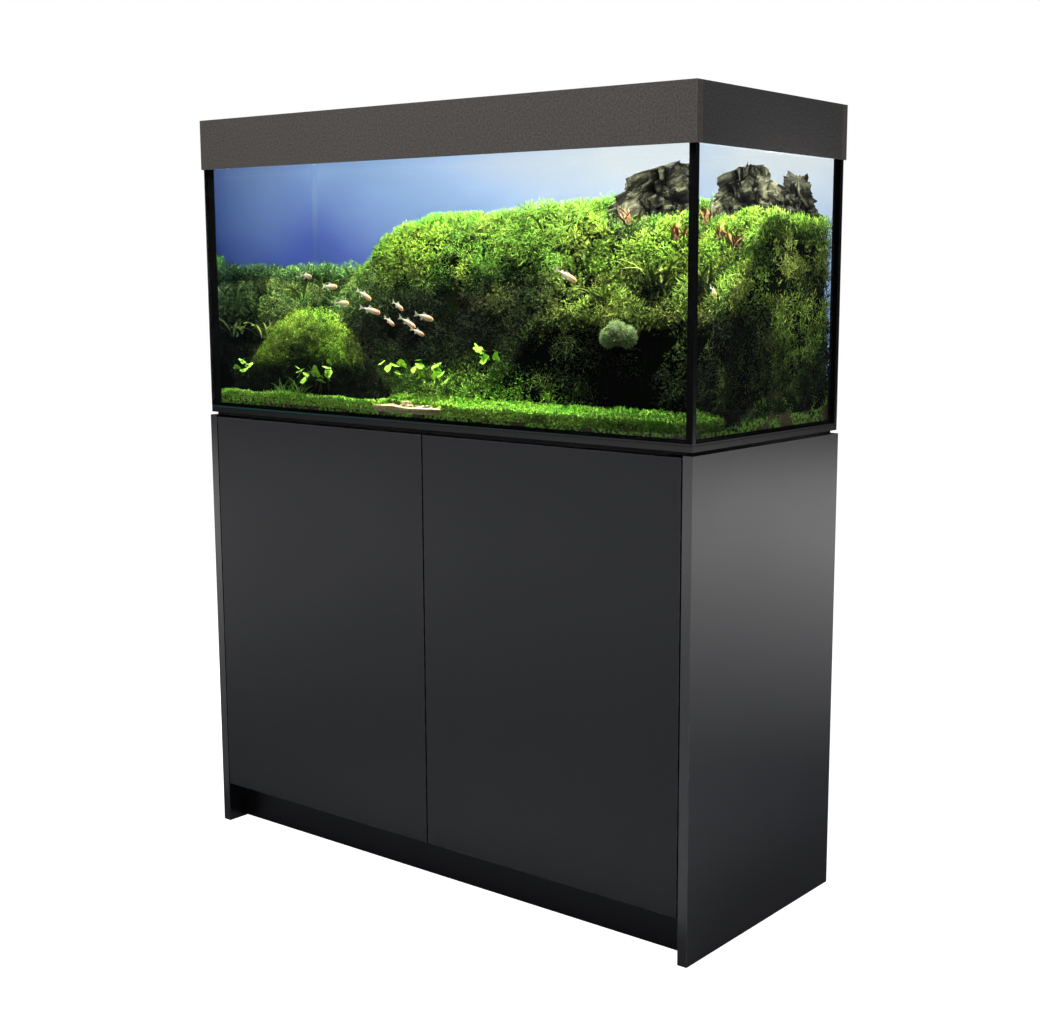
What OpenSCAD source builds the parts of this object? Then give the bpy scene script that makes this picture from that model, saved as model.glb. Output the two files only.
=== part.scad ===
// Planted aquarium with a lift-off hood, on a two-door cabinet.
// Millimetres. +Z is up, the front faces -Y, and the origin is on the floor under the middle.

/* [Tank] */
// Outside width of the glass tank
tank_width = 1000; // [900:1:1200]
// Outside depth of the glass tank
tank_depth = 400; // [380:1:500]
// Height of the glass with its bottom pane
glass_height = 434; // [420:1:480]
// Thickness of every pane
pane = 8; // [6:0.5:10]
// Thickness of silicone between two panes
bond = 0.5; // [0.3:0.1:1]
// Leg of the silicone fillet in the inner corners
fillet = 8; // [5:0.5:9]
// Width of the two bracing strips
brace_width = 48; // [30:1:55]
// Drop from the rim of the glass to the bracing strips
brace_drop = 6; // [4:0.5:10]
// Thickness of the foam mat under the tank
mat = 5; // [3:0.5:8]
// Inset of the mat from the edge of the glass
mat_inset = 7; // [3:0.5:12]
// Thickness of the film on the back of the tank
film = 0.4; // [0.2:0.1:0.6]

/* [Cabinet] */
// How far the cabinet stands proud of the tank all round
cabinet_margin = 2; // [0:0.5:10]
// Height of the cabinet
cabinet_height = 730; // [650:1:850]
// Thickness of the cabinet boards
board = 16; // [16:0.5:19]
// Height of the toe space
plinth_height = 70; // [50:1:100]
// Setback of the front plinth from the cabinet front
plinth_setback = 40; // [25:1:60]
// Setback of the rear plinth from the back sheet
rear_plinth_setback = 6; // [0:1:40]
// Thickness of the back sheet
back_sheet = 3; // [2.5:0.1:4]
// Inset of the back sheet from the rear edge
back_inset = 10; // [6:0.5:20]
// Depth of the grooves that hold the back sheet
groove = 6; // [4:0.5:8]
// Height of the two rear stretchers
stretcher = 90; // [60:1:120]
// Width of each window for hoses and cables
window_width = 180; // [120:1:220]
// Height of each window
window_height = 110; // [80:1:130]
// Corner radius of the windows
window_radius = 20; // [10:1:30]
// Drop from the stretchers to the windows
window_drop = 25; // [10:1:40]
// Height of the shelf over the bottom panel
shelf_level = 300; // [260:1:330]
// Setback of the shelf from the carcass front
shelf_setback = 25; // [15:1:60]

/* [Doors] */
// Thickness of the doors
door = 16; // [16:0.5:18]
// Reveal between a door and its side panel
door_reveal = 2.5; // [2.5:0.1:4]
// Gap between the two doors
door_gap = 3; // [2:0.1:5]
// Gap over the doors
door_top_gap = 3; // [2:0.5:6]
// Gap between a closed door and the carcass
door_rest = 2; // [1.5:0.1:3]

/* [Door hinges] */
// Distance of each hinge from the end of its door
hinge_inset = 92; // [70:1:140]
// Diameter of the hinge cup
cup_diameter = 35; // [34.5:0.1:35.5]
// Depth of the hinge cup
cup_depth = 11.5; // [11:0.1:12]
// Edge of the door left beside the cup
cup_edge = 4; // [3.5:0.1:5]
// Distance of the hinge pin from the side panel
pin_from_side = 18; // [18:0.1:19]
// Distance of the hinge pin from the door front
pin_from_front = 8.5; // [8.4:0.1:8.7]
// Diameter of the hinge pin
hinge_pin = 3; // [2.5:0.1:3]
// Width of the hinge arm
arm_width = 13; // [10:0.5:14]

/* [Push latches] */
// Distance of each latch from the middle of the cabinet
latch_offset = 44; // [30:1:80]
// Diameter of the plunger
plunger = 8; // [6:0.5:10]
// Length of the latch body
latch_length = 60; // [50:1:80]
// Travel of the plunger
latch_travel = 3; // [2:0.5:4]

/* [Hood] */
// Height of the hood
hood_height = 81; // [78:1:120]
// How far the hood reaches down over the glass
hood_overlap = 25; // [20:1:25]
// How far the hood stands proud of the tank all round
hood_margin = 3; // [2.5:0.1:5]
// Thickness of the lip outside the glass
hood_lip = 2.2; // [1.5:0.1:2.2]
// Thickness of the hood boards
hood_board = 13; // [12:0.5:16]
// Depth of the fixed deck at the rear
deck_depth = 149; // [145:1:170]
// Thickness of the deck and the flaps
flap_board = 12; // [10:0.5:14]
// Gap round the flaps
flap_gap = 1.5; // [1:0.1:3]
// Side of the square battens under the deck and the flaps
batten = 11; // [9:0.5:12]
// Diameter of the finger hole in each flap
finger_hole = 28; // [24:1:34]
// Diameter of the knuckles of the flap hinges
knuckle = 4.8; // [4.6:0.1:6]

/* [Light] */
// Length of the light
light_length = 840; // [700:1:860]
// Width of the light
light_width = 70; // [60:1:74]
// Height of the light with its fins
light_height = 20; // [18:0.5:21]
// Number of LEDs in each row
led_count = 16; // [8:1:24]

/* [Filter and heater] */
// Width of the filter
filter_width = 76; // [60:1:80]
// Depth of the filter
filter_depth = 54; // [50:1:56]
// Distance of the filter from the middle of the clear part of the terrace
filter_offset = 33; // [28:1:35]
// Height of the filter case
case_height = 120; // [90:1:130]
// Height of the pump head
head_height = 52; // [46:1:56]
// Diameter of the heater tube
heater_diameter = 22; // [18:0.5:24]
// Length of the heater tube
heater_length = 168; // [120:1:175]
// Distance of the heater from the end of the ridge
heater_gap = 40; // [30:1:42]

/* [Planting] */
// Depth of soil at the front glass
soil_front = 14; // [12:1:40]
// Rise of the soil to the terrace behind the rocks
soil_rise = 154; // [120:1:160]
// Share of that rise that the left part keeps
soil_left_share = 0.5; // [0.3:0.05:0.8]
// Share of the rise that is left against the side panes
soil_end_share = 0.06; // [0.04:0.02:1]
// Height of the tallest rock over the terrace
rock_height = 238; // [150:1:240]
// Height of the carpet plants
carpet = 14; // [8:1:20]
// Height of the moss mound over the soil
mound = 122; // [60:1:130]
// Height of the plants at the lower edge of the slope
slope_edge = 26; // [15:1:50]
// Height of the bushes at the right end over the carpet
bush = 150; // [60:1:165]
// Height of the plants at the left end of the ridge
ridge_left = 128; // [80:1:150]
// Height of the plants in the middle of the ridge
ridge_middle = 165; // [100:1:185]
// Height of the plants beside the rocks
ridge_right = 172; // [100:1:185]

/* [Hidden] */
$fn = 48;
cut = 1;
play = 0.1;
running = 0.05;
seat_gap = 0.3;

cab_w = tank_width + 2 * cabinet_margin;
cab_d = tank_depth + 2 * cabinet_margin;
front_y = -cab_d / 2;
back_y = cab_d / 2;
inner_x = cab_w / 2 - board;
under_top = cabinet_height - board;
floor_top = plinth_height + board;
door_back = front_y + door;
carcass_front = door_back + door_rest;
sheet_front = back_y - back_inset - back_sheet;

door_left_edge = door_gap / 2;
door_width = inner_x - door_reveal - door_left_edge;
door_bottom = plinth_height;
door_top = cabinet_height - door_top_gap;

pin_x = inner_x - pin_from_side;
pin_y = front_y + pin_from_front;
cup_r = cup_diameter / 2;
cup_x = inner_x - door_reveal - cup_edge - cup_r;
cup_wall = 1;
cup_floor = 0.8;
swing_r = norm([pin_from_side - door_reveal, door - pin_from_front]) + 0.8;
hinge_levels = [door_bottom + hinge_inset, door_top - hinge_inset];
neck_inner = 18.6;
neck_outer = 21.6;
neck_start = 44;
neck_end = 150;
spoke = 2.5;
eye_r = 2.8;
plate = 2;
plate_length = 44;
plate_height = 40;
arm_length = 50;
arm_thick = 3;
screw_r = 1.75;
screw_head_r = 3.8;
screw_head = 2;
screw_depth = 11;

bolt_r = 3;
bolt_reach = 11;
cam_r = 7.5;
cam_depth = 12.5;
cam_from_end = 24;
cam_ys = [-cab_d / 2 + 80, cab_d / 2 - 80];

peg_r = 2.5;
peg_depth = 9;
peg_out = 9;
peg_pitch = 32;
peg_ys = [carcass_front + 64, sheet_front - 64];
shelf_under = floor_top + shelf_level;
shelf_play = 1;

latch_drop = 10;
latch_w = 18;
latch_nose = 6;
strike = 1.2;
strike_r = 8;
latch_z = under_top - latch_drop;
plunger_tip = door_back + strike + seat_gap;
latch_front = plunger_tip + latch_nose;

tank_bottom = cabinet_height + mat;
water_floor = tank_bottom + pane;
rim = tank_bottom + glass_height;
in_x = tank_width / 2 - pane;
in_y = tank_depth / 2 - pane;
brace_z = rim - brace_drop - pane;

hood_w = tank_width + 2 * hood_margin;
hood_d = tank_depth + 2 * hood_margin;
hood_bottom = rim - hood_overlap;
hood_top = hood_bottom + hood_height;
hood_in_x = hood_w / 2 - hood_board;
hood_in_y = hood_d / 2 - hood_board;
flap_under = hood_top - flap_board;
deck_front = hood_in_y - deck_depth;
hinge_y = deck_front - flap_gap / 2;
knuckle_r = knuckle / 2;
leaf = 1.2;
leaf_depth = 18;
leaf_width = 40;
knuckle_clear = 0.3;
hinge_z = hood_top + knuckle_clear + knuckle_r;
flap_pin_r = 1.2;
flap_hinge_xs = [110, 380];
knuckles = 5;

light_y = deck_front + 20 + light_width / 2;
bracket = 2;
light_top = flap_under - batten - 3;
light_bottom = light_top - light_height;
fin = 4;
lens = 2.5;
lens_step = 2;
light_wall = 3;
led_board = 1.6;
bracket_inset = 60;
bracket_x = light_length / 2 - bracket_inset;

terrace = water_floor + soil_front + soil_rise;
terrace_y = 10;
glass_play = 0.3;
grid_x = 24;
grid_y = 18;
mound_line = 9;
terrace_line = 17;
wall_line = 21;
bed_line = 4;
ridge_line = 10;
nook_line = 16;
mound_right = line_x(mound_line);
bed_front = line_y(bed_line);
mound_front = line_y(1);
rock_front = line_y(ridge_line);
corner_side = (fillet + 1) * sqrt(2);

filter_x = (line_x(terrace_line) + line_x(wall_line)) / 2 + filter_offset;
heater_x = line_x(terrace_line) + heater_gap;
gear_z = terrace + 5;
cup_gap = 10;
filter_back = in_y - cup_gap;
filter_front = filter_back - filter_depth;
filter_y = filter_back - filter_depth / 2;
rock_back = filter_front - 10;
case_top = gear_z + case_height;
head_top = case_top + head_height;
filter_wall = 2;
rotor_r = 7;
chamber_r = 13;
shaft_r = 1.5;
nozzle_r = 8;
nozzle_wall = 1.6;
heater_y = in_y - cup_gap - heater_diameter / 2 - 2;
heater_top = gear_z + heater_length;
heater_cap = 16;
dial_r = 8;
spindle_r = 2;
dial_height = 9;

// ---------- shared shapes ----------

// Mirrors a right-hand part to the left.
module handed(side) {
    if (side < 0) mirror([1, 0, 0]) children();
    else children();
}

module both_sides() {
    for (side = [-1, 1]) handed(side) children();
}

// Box from its lowest to its highest corner.
module span(low, high) {
    translate(low) cube(high - low);
}

module rod_x(r, x0, x1, y, z) {
    translate([x0, y, z]) rotate([0, 90, 0]) cylinder(r = r, h = x1 - x0);
}

module rod_y(r, y0, y1, x, z) {
    translate([x, y0, z]) rotate([-90, 0, 0]) cylinder(r = r, h = y1 - y0);
}

// Upright rounded box on z0.
module rounded_post(x0, x1, y0, y1, z0, z1, r) {
    span([x0 + r, y0, z0], [x1 - r, y1, z1]);
    span([x0, y0 + r, z0], [x1, y1 - r, z1]);
    for (x = [x0 + r, x1 - r], y = [y0 + r, y1 - r])
        translate([x, y, z0]) cylinder(r = r, h = z1 - z0);
}

// Rounded window through a sheet that stands in the XZ plane.
module window_cut(x0, x1, z0, z1, y0, y1, r) {
    span([x0 + r, y0, z0], [x1 - r, y1, z1]);
    span([x0, y0, z0 + r], [x1, y1, z1 - r]);
    for (x = [x0 + r, x1 - r], z = [z0 + r, z1 - r]) rod_y(r, y0, y1, x, z);
}

// ---------- cabinet ----------

module peg_holes(x0, x1) {
    for (y = peg_ys, step = [-2:2])
        rod_x(peg_r + running, x0, x1, y, shelf_under - peg_r + step * peg_pitch);
}

module cam_bolt_space(r, x0, x1) {
    for (y = cam_ys, z = [under_top + board / 2, plinth_height + board / 2]) rod_x(r, x0, x1, y, z);
}

module plate_screw_space(r, x0, x1) {
    for (level = hinge_levels, lift = [-1, 1])
        rod_x(r, x0, x1, pin_y + neck_inner + plate_length / 2, level + lift * plate_height / 3);
}

module side_panel(side) {
    color("dimgray") handed(side) difference() {
        span([inner_x, front_y, 0], [cab_w / 2, back_y, cabinet_height]);
        span([inner_x - cut, sheet_front - play, plinth_height],
             [inner_x + groove, sheet_front + back_sheet + play, under_top + groove]);
        peg_holes(inner_x - cut, inner_x + peg_depth + play);
        cam_bolt_space(bolt_r + running, inner_x - cut, inner_x + bolt_reach + play);
        plate_screw_space(screw_r + running, inner_x - cut, inner_x + screw_depth + play);
    }
}

module cam_pockets(under) {
    both_sides() for (y = cam_ys) {
        translate([inner_x - cam_from_end, y, under - cut]) cylinder(r = cam_r + play, h = cam_depth + play + cut);
        rod_x(bolt_r + play, inner_x - cam_from_end, inner_x + cut, y, under + board / 2);
    }
}

// Room in the panels for the edge of an opening door, which swings in behind its pin.
module swing_space(z0, z1) {
    both_sides() {
        translate([pin_x, pin_y, z0]) cylinder(r = swing_r, h = z1 - z0);
        span([pin_x, pin_y, z0], [inner_x + cut, pin_y + swing_r, z1]);
    }
}

module top_panel() {
    color("dimgray") difference() {
        span([-inner_x, carcass_front, under_top], [inner_x, back_y, cabinet_height]);
        span([-inner_x - cut, sheet_front - play, under_top - cut],
             [inner_x + cut, sheet_front + back_sheet + play, under_top + groove]);
        cam_pockets(under_top);
        swing_space(under_top - cut, cabinet_height + cut);
        for (side = [-1, 1])
            translate([side * latch_offset, latch_front + latch_length / 2, under_top - cut])
                cylinder(r = screw_r + running, h = cut + latch_drop / 2 + play);
    }
}

module bottom_panel() {
    color("dimgray") difference() {
        span([-inner_x, carcass_front, plinth_height], [inner_x, sheet_front, floor_top]);
        cam_pockets(plinth_height);
        swing_space(plinth_height - cut, floor_top + cut);
    }
}

module center_partition() {
    color("dimgray") difference() {
        span([-board / 2, carcass_front, floor_top], [board / 2, sheet_front, under_top]);
        peg_holes(-board / 2 - cut, board / 2 + cut);
    }
}

module plinth_front() {
    color("dimgray") span([-inner_x, front_y + plinth_setback, 0], [inner_x, front_y + plinth_setback + board, plinth_height]);
}

module plinth_rear() {
    color("dimgray")
        span([-inner_x, sheet_front - rear_plinth_setback - board, 0],
             [inner_x, sheet_front - rear_plinth_setback, plinth_height]);
}

module rear_stretchers() {
    color("dimgray") both_sides()
        span([board / 2, sheet_front - board, under_top - stretcher], [inner_x, sheet_front, under_top]);
}

module back_sheet_panel() {
    reach = groove - 0.5;
    window_top = under_top - stretcher - window_drop;
    middle = (inner_x + board / 2) / 2;
    color("saddlebrown") difference() {
        span([-inner_x - reach, sheet_front, plinth_height], [inner_x + reach, sheet_front + back_sheet, under_top + reach]);
        both_sides()
            window_cut(middle - window_width / 2, middle + window_width / 2, window_top - window_height,
                       window_top, sheet_front - cut, sheet_front + back_sheet + cut, window_radius);
    }
}

module shelf_panel() {
    color("dimgray")
        span([-inner_x + shelf_play, carcass_front + shelf_setback, shelf_under],
             [-board / 2 - shelf_play, sheet_front - board - shelf_play, shelf_under + board]);
}

// A peg in its hole, a collar against the panel and a flat nose under the shelf.
module shelf_pin() {
    rod_x(peg_r, 0, peg_depth, 0, 0);
    rod_x(peg_r + 1, -1, 0, 0, 0);
    rod_x(peg_r, -peg_out, 0, 0, 0);
    span([-peg_out, -peg_r - 1.5, 0], [0, peg_r + 1.5, peg_r]);
}

module shelf_pins() {
    z = shelf_under - peg_r;
    color("silver") for (y = peg_ys) {
        translate([-inner_x, y, z]) mirror([1, 0, 0]) shelf_pin();
        translate([-board / 2, y, z]) shelf_pin();
    }
}

// A cam in its pocket, with the slot that takes the head of its bolt, and the bolt.
module cam_fitting(y, under) {
    axis = under + board / 2;
    difference() {
        translate([inner_x - cam_from_end, y, under]) cylinder(r = cam_r, h = cam_depth);
        rod_x(bolt_r + play, inner_x - cam_from_end - bolt_r, inner_x, y, axis);
        span([inner_x - cam_from_end - 5, y - 1, under - cut], [inner_x - cam_from_end + 5, y + 1, under + 2]);
        span([inner_x - cam_from_end - 1, y - 5, under - cut], [inner_x - cam_from_end + 1, y + 5, under + 2]);
    }
    rod_x(bolt_r, inner_x - cam_from_end - bolt_r + play, inner_x + bolt_reach, y, axis);
}

module cam_fittings() {
    color("silver") both_sides() for (y = cam_ys, under = [under_top, plinth_height]) cam_fitting(y, under);
}

// ---------- door hinges: cup, gooseneck arm, plate ----------

// Arm seen from above, with the hinge pin at its origin and the side panel towards +X.
module arm_outline() {
    difference() {
        union() {
            circle(r = eye_r);
            rotate(neck_end) translate([0, -spoke / 2]) square([neck_outer - 0.2, spoke]);
            intersection() {
                difference() {
                    circle(r = neck_outer);
                    circle(r = neck_inner);
                }
                polygon([[0, 0], for (a = [neck_start:(neck_end - neck_start) / 6:neck_end + 0.1]) 40 * [cos(a), sin(a)]]);
            }
            translate([pin_from_side - plate - arm_thick, 13.6]) square([arm_thick, arm_length]);
        }
        circle(r = hinge_pin / 2 + running);
    }
}

module arm_screw_space(r, x0, x1) {
    for (level = hinge_levels) rod_x(r, x0, x1, pin_y + neck_inner + plate_length / 2, level);
}

module hinge_arms() {
    color("silver") both_sides() difference() {
        for (level = hinge_levels)
            translate([pin_x, pin_y, level - arm_width / 2]) linear_extrude(arm_width) arm_outline();
        arm_screw_space(screw_r + running, pin_x, inner_x);
    }
}

module screw(head_x, end_x, y, z) {
    rod_x(screw_head_r, head_x - screw_head, head_x, y, z);
    rod_x(screw_r, head_x - 0.5, end_x, y, z);
}

module hinge_plates() {
    y = pin_y + neck_inner + plate_length / 2;
    color("silver") both_sides() {
        difference() {
            for (level = hinge_levels)
                span([inner_x - plate, y - plate_length / 2, level - plate_height / 2],
                     [inner_x, y + plate_length / 2, level + plate_height / 2]);
            plate_screw_space(screw_r + running, inner_x - plate - cut, inner_x + cut);
            arm_screw_space(screw_r + running, inner_x - plate - cut, inner_x + cut);
        }
        for (level = hinge_levels) {
            screw(inner_x - plate - arm_thick, inner_x, y, level);
            for (lift = [-1, 1]) screw(inner_x - plate, inner_x + screw_depth, y, level + lift * plate_height / 3);
        }
    }
}

module cup_screw_space(r, y0, y1) {
    for (level = hinge_levels, lift = [-1, 1]) rod_y(r, y0, y1, cup_x - 8, level + lift * (cup_r + 6));
}

module hinge_cups(side) {
    flange = 1;
    color("silver") handed(side) {
        difference() {
            for (level = hinge_levels) {
                rod_y(cup_r - play, door_back - cup_depth + play, door_back + flange, cup_x, level);
                span([cup_x - 13, door_back, level - cup_r - 11], [cup_x - 3, door_back + flange, level + cup_r + 11]);
                rod_y(cup_r + 2, door_back, door_back + flange, cup_x, level);
            }
            for (level = hinge_levels) {
                rod_y(cup_r - cup_wall, door_back - cup_depth + play + cup_floor, door_back + flange + cut, cup_x, level);
                translate([pin_x, pin_y, level - cup_r]) cylinder(r = hinge_pin / 2 + 0.02, h = 2 * cup_r);
            }
            cup_screw_space(screw_r + running, door_back - cut, door_back + flange + cut);
        }
        half = sqrt(pow(cup_r - play, 2) - pow(pin_x - cup_x, 2)) - 0.5;
        for (level = hinge_levels) {
            translate([pin_x, pin_y, level - half]) cylinder(r = hinge_pin / 2, h = 2 * half);
            for (lift = [-1, 1]) translate([cup_x - 8, 0, level + lift * (cup_r + 6)]) {
                rod_y(screw_head_r, door_back + flange, door_back + flange + screw_head, 0, 0);
                rod_y(screw_r, door_back - screw_depth, door_back + flange + 0.5, 0, 0);
            }
        }
    }
}

module door_panel(side) {
    color("dimgray") handed(side) difference() {
        span([door_left_edge, front_y, door_bottom], [door_left_edge + door_width, door_back, door_top]);
        for (level = hinge_levels) rod_y(cup_r, door_back - cup_depth, door_back + cut, cup_x, level);
        cup_screw_space(screw_r + running, door_back - screw_depth - play, door_back + cut);
    }
}

// ---------- push latches ----------

module latch_bodies() {
    bore_end = latch_front + latch_length - 8;
    color("gray") for (side = [-1, 1]) translate([side * latch_offset, 0, 0]) {
        difference() {
            span([-latch_w / 2, latch_front, latch_z - latch_drop], [latch_w / 2, latch_front + latch_length, under_top]);
            rod_y(plunger / 2 + running, latch_front - cut, bore_end, 0, latch_z);
        }
        translate([0, latch_front + latch_length / 2, under_top - cut]) cylinder(r = screw_r, h = cut + latch_drop / 2);
    }
}

module latch_plunger(side) {
    color("white") handed(side) {
        rod_y(plunger / 2, plunger_tip + 1, latch_front + latch_length - 8 - latch_travel - 2, latch_offset, latch_z);
        rod_y(plunger / 2 - 1, plunger_tip, plunger_tip + 1.5, latch_offset, latch_z);
    }
}

module strike_plate(side) {
    color("silver") handed(side) rod_y(strike_r, door_back, door_back + strike, latch_offset, latch_z);
}

// ---------- glass tank ----------

module base_mat() {
    x = tank_width / 2 - mat_inset;
    y = tank_depth / 2 - mat_inset;
    color("black") span([-x, -y, cabinet_height], [x, y, tank_bottom]);
}

module glass_bottom() {
    color("lightblue", 0.4)
        span([-tank_width / 2, -tank_depth / 2, tank_bottom], [tank_width / 2, tank_depth / 2, water_floor]);
}

module long_pane(side) {
    y = side * (tank_depth / 2 - pane / 2);
    color("lightblue", 0.4)
        span([-tank_width / 2, y - pane / 2, water_floor + bond], [tank_width / 2, y + pane / 2, rim]);
}

module short_pane(side) {
    color("lightblue", 0.4) handed(side)
        span([in_x, -in_y + bond, water_floor + bond], [tank_width / 2, in_y - bond, rim]);
}

// Hollow quarter-round profile in the corner of +X and +Y.
module fillet_profile() {
    difference() {
        square(fillet);
        translate([fillet, fillet]) circle(r = fillet);
    }
}

module silicone_seams() {
    low = water_floor + bond;
    color([0.08, 0.08, 0.08]) union() {
        for (turn_x = [0, 1], turn_y = [0, 1])
            mirror([turn_x, 0, 0]) mirror([0, turn_y, 0]) {
                translate([-in_x, -in_y, low]) linear_extrude(rim - low) fillet_profile();
                span([-tank_width / 2, -in_y, low], [-in_x, -in_y + bond, rim]);
            }
        for (turn_y = [0, 1]) mirror([0, turn_y, 0]) {
            translate([-in_x, -in_y, water_floor]) rotate([90, 0, 90]) linear_extrude(2 * in_x) fillet_profile();
            span([-tank_width / 2, -tank_depth / 2, water_floor], [tank_width / 2, -in_y, low]);
        }
        for (turn_x = [0, 1]) mirror([turn_x, 0, 0]) {
            translate([-in_x, in_y, water_floor]) rotate([90, 0, 0]) linear_extrude(2 * in_y) fillet_profile();
            span([-tank_width / 2, -in_y, water_floor], [-in_x, in_y, low]);
        }
    }
}

module glass_braces() {
    x = in_x - fillet - glass_play;
    color("lightblue", 0.4) for (side = [-1, 1])
        span([-x, min(side * in_y, side * (in_y - brace_width)), brace_z],
             [x, max(side * in_y, side * (in_y - brace_width)), brace_z + pane]);
}

module background_film() {
    edge = 2;
    color("royalblue")
        span([-tank_width / 2 + edge, tank_depth / 2, water_floor + bond], [tank_width / 2 - edge, tank_depth / 2 + film, rim - edge]);
}

// ---------- soil, rocks and plants ----------

function smooth(a, b, t) = let (u = min(1, max(0, (t - a) / (b - a)))) u * u * (3 - 2 * u);
function lerp(a, b, t) = a + (b - a) * t;

// Grid lines that the soil and everything on it share, so that the layers stay parallel.
function line_x(i) = lerp(-in_x + glass_play, in_x - glass_play, i / grid_x);
function line_y(j) = lerp(-in_y + glass_play, in_y - glass_play, j / grid_y);

// Height of the soil: low at the front glass, rising to a flat terrace at the rear right, and steep at both ends.
function left_to_right(x) = lerp(soil_left_share, 1, smooth(line_x(4), line_x(mound_line + 1), x));
function ends_down(x) = lerp(soil_end_share, 1, smooth(0, line_x(1) - line_x(0), in_x - glass_play - abs(x)));
function soil(x, y) =
    water_floor + soil_front
    + soil_rise * smooth(bed_front - 20, terrace_y, y) * left_to_right(x) * ends_down(x);

// Tops of the plants over the soil; they stay level where the soil drops at the ends.
plant_heights = [
    [line_x(5), ridge_left], [line_x(7.5), ridge_middle], [line_x(12), ridge_middle - 18],
    [line_x(terrace_line), ridge_right], [line_x(terrace_line + 2), ridge_right - 24]
];
function level_x(x) = max(line_x(1), min(line_x(grid_x - 1), x));
function slope_top(x, y) =
    let (rise = smooth(bed_front, terrace_y, y), front = lerp(slope_edge, bush, smooth(line_x(13), line_x(terrace_line), x)))
    soil(level_x(x), y) + lerp(front, lookup(x, plant_heights), rise) + 9 * sin(x * 1.1) * rise;
function ridge_top(x, y) = soil(level_x(x), y) + lookup(x, plant_heights) + 8 * sin(x * 0.9 + 40) * cos(y * 1.3);
function mound_top(x, y) =
    let (u = (2 * x - mound_right + in_x) / (mound_right + in_x), v = (y - bed_front) / (bed_front - mound_front))
    soil(x, y) + 8 + mound * max(0, 1 - u * u) * (1 - v * v * 0.8);

// Closed block between two surfaces, from grid line to grid line and a seat gap short of the next block.
module surface_block(lines_x, lines_y, low, high) {
    xs = [for (i = [lines_x[0]:lines_x[1]]) line_x(i) - (i == lines_x[1] && i < grid_x ? seat_gap : 0)];
    ys = [for (j = [lines_y[0]:lines_y[1]]) line_y(j) - (j == lines_y[1] && j < grid_y ? seat_gap : 0)];
    nx = len(xs) - 1;
    ny = len(ys) - 1;
    count = len(xs) * len(ys);
    at = function (i, j) i * (ny + 1) + j;
    points = concat([for (x = xs, y = ys) [x, y, low(x, y)]], [for (x = xs, y = ys) [x, y, high(x, y)]]);
    // Two triangles for the four corners of a cell or of a strip of wall.
    pair = function (a, b, c, d) [[a, b, c], [a, c, d]];
    layers = [for (i = [0:nx - 1], j = [0:ny - 1])
        concat(pair(count + at(i, j), count + at(i, j + 1), count + at(i + 1, j + 1), count + at(i + 1, j)),
               pair(at(i, j), at(i + 1, j), at(i + 1, j + 1), at(i, j + 1)))];
    ends_x = [for (j = [0:ny - 1])
        concat(pair(at(0, j), at(0, j + 1), count + at(0, j + 1), count + at(0, j)),
               pair(at(nx, j + 1), at(nx, j), count + at(nx, j), count + at(nx, j + 1)))];
    ends_y = [for (i = [0:nx - 1])
        concat(pair(at(i + 1, 0), at(i, 0), count + at(i, 0), count + at(i + 1, 0)),
               pair(at(i, ny), at(i + 1, ny), count + at(i + 1, ny), count + at(i, ny)))];
    polyhedron(points = points, faces = [for (group = concat(layers, ends_x, ends_y), face = group) face]);
}

// What keeps the planting clear of the silicone in the corners of the tank.
module corner_cuts() {
    for (side_x = [-1, 1], side_y = [-1, 1])
        translate([side_x * in_x, side_y * in_y, water_floor + glass_height / 2]) rotate(45)
            cube([corner_side, corner_side, glass_height + 2 * cut], center = true);
}

// The same along the edges of the bottom pane.
module base_cuts() {
    for (side = [-1, 1]) {
        translate([0, side * in_y, water_floor]) rotate([45, 0, 0])
            cube([2 * in_x, corner_side, corner_side], center = true);
        translate([side * in_x, 0, water_floor]) rotate([0, 45, 0])
            cube([corner_side, 2 * in_y, corner_side], center = true);
    }
}

module substrate() {
    color("sienna") difference() {
        surface_block([0, grid_x], [0, grid_y], function (x, y) water_floor, function (x, y) soil(x, y));
        corner_cuts();
        base_cuts();
    }
}

// Plants from grid line to grid line, standing on the soil.
module planting(lines_x, lines_y, high) {
    difference() {
        surface_block(lines_x, lines_y, function (x, y) soil(x, y) + seat_gap, high);
        corner_cuts();
    }
}

module slope_planting() {
    color("olivedrab") planting([0, grid_x], [bed_line, ridge_line], function (x, y) slope_top(x, y));
}

module ridge_planting() {
    top = function (x, y) ridge_top(x, y);
    color("yellowgreen") {
        planting([0, terrace_line], [ridge_line, grid_y], top);
        planting([wall_line, grid_x - 1], [nook_line, grid_y], top);
        planting([grid_x - 1, grid_x], [ridge_line, grid_y], top);
    }
}

module moss_mound() {
    color("darkolivegreen") planting([0, mound_line], [1, bed_line], function (x, y) mound_top(x, y));
}

module carpet_planting() {
    high = function (x, y) soil(x, y) + carpet + 2 * sin(x * 3) * cos(y * 4);
    color("limegreen") difference() {
        union() {
            planting([mound_line, grid_x], [0, bed_line], high);
            planting([0, mound_line], [0, 1], high);
        }
        for (spot = stone_spots) translate([stone_place(spot).x, stone_place(spot).y, water_floor])
            cylinder(r = spot.z + 2, h = soil_front + soil_rise);
    }
}

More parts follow.
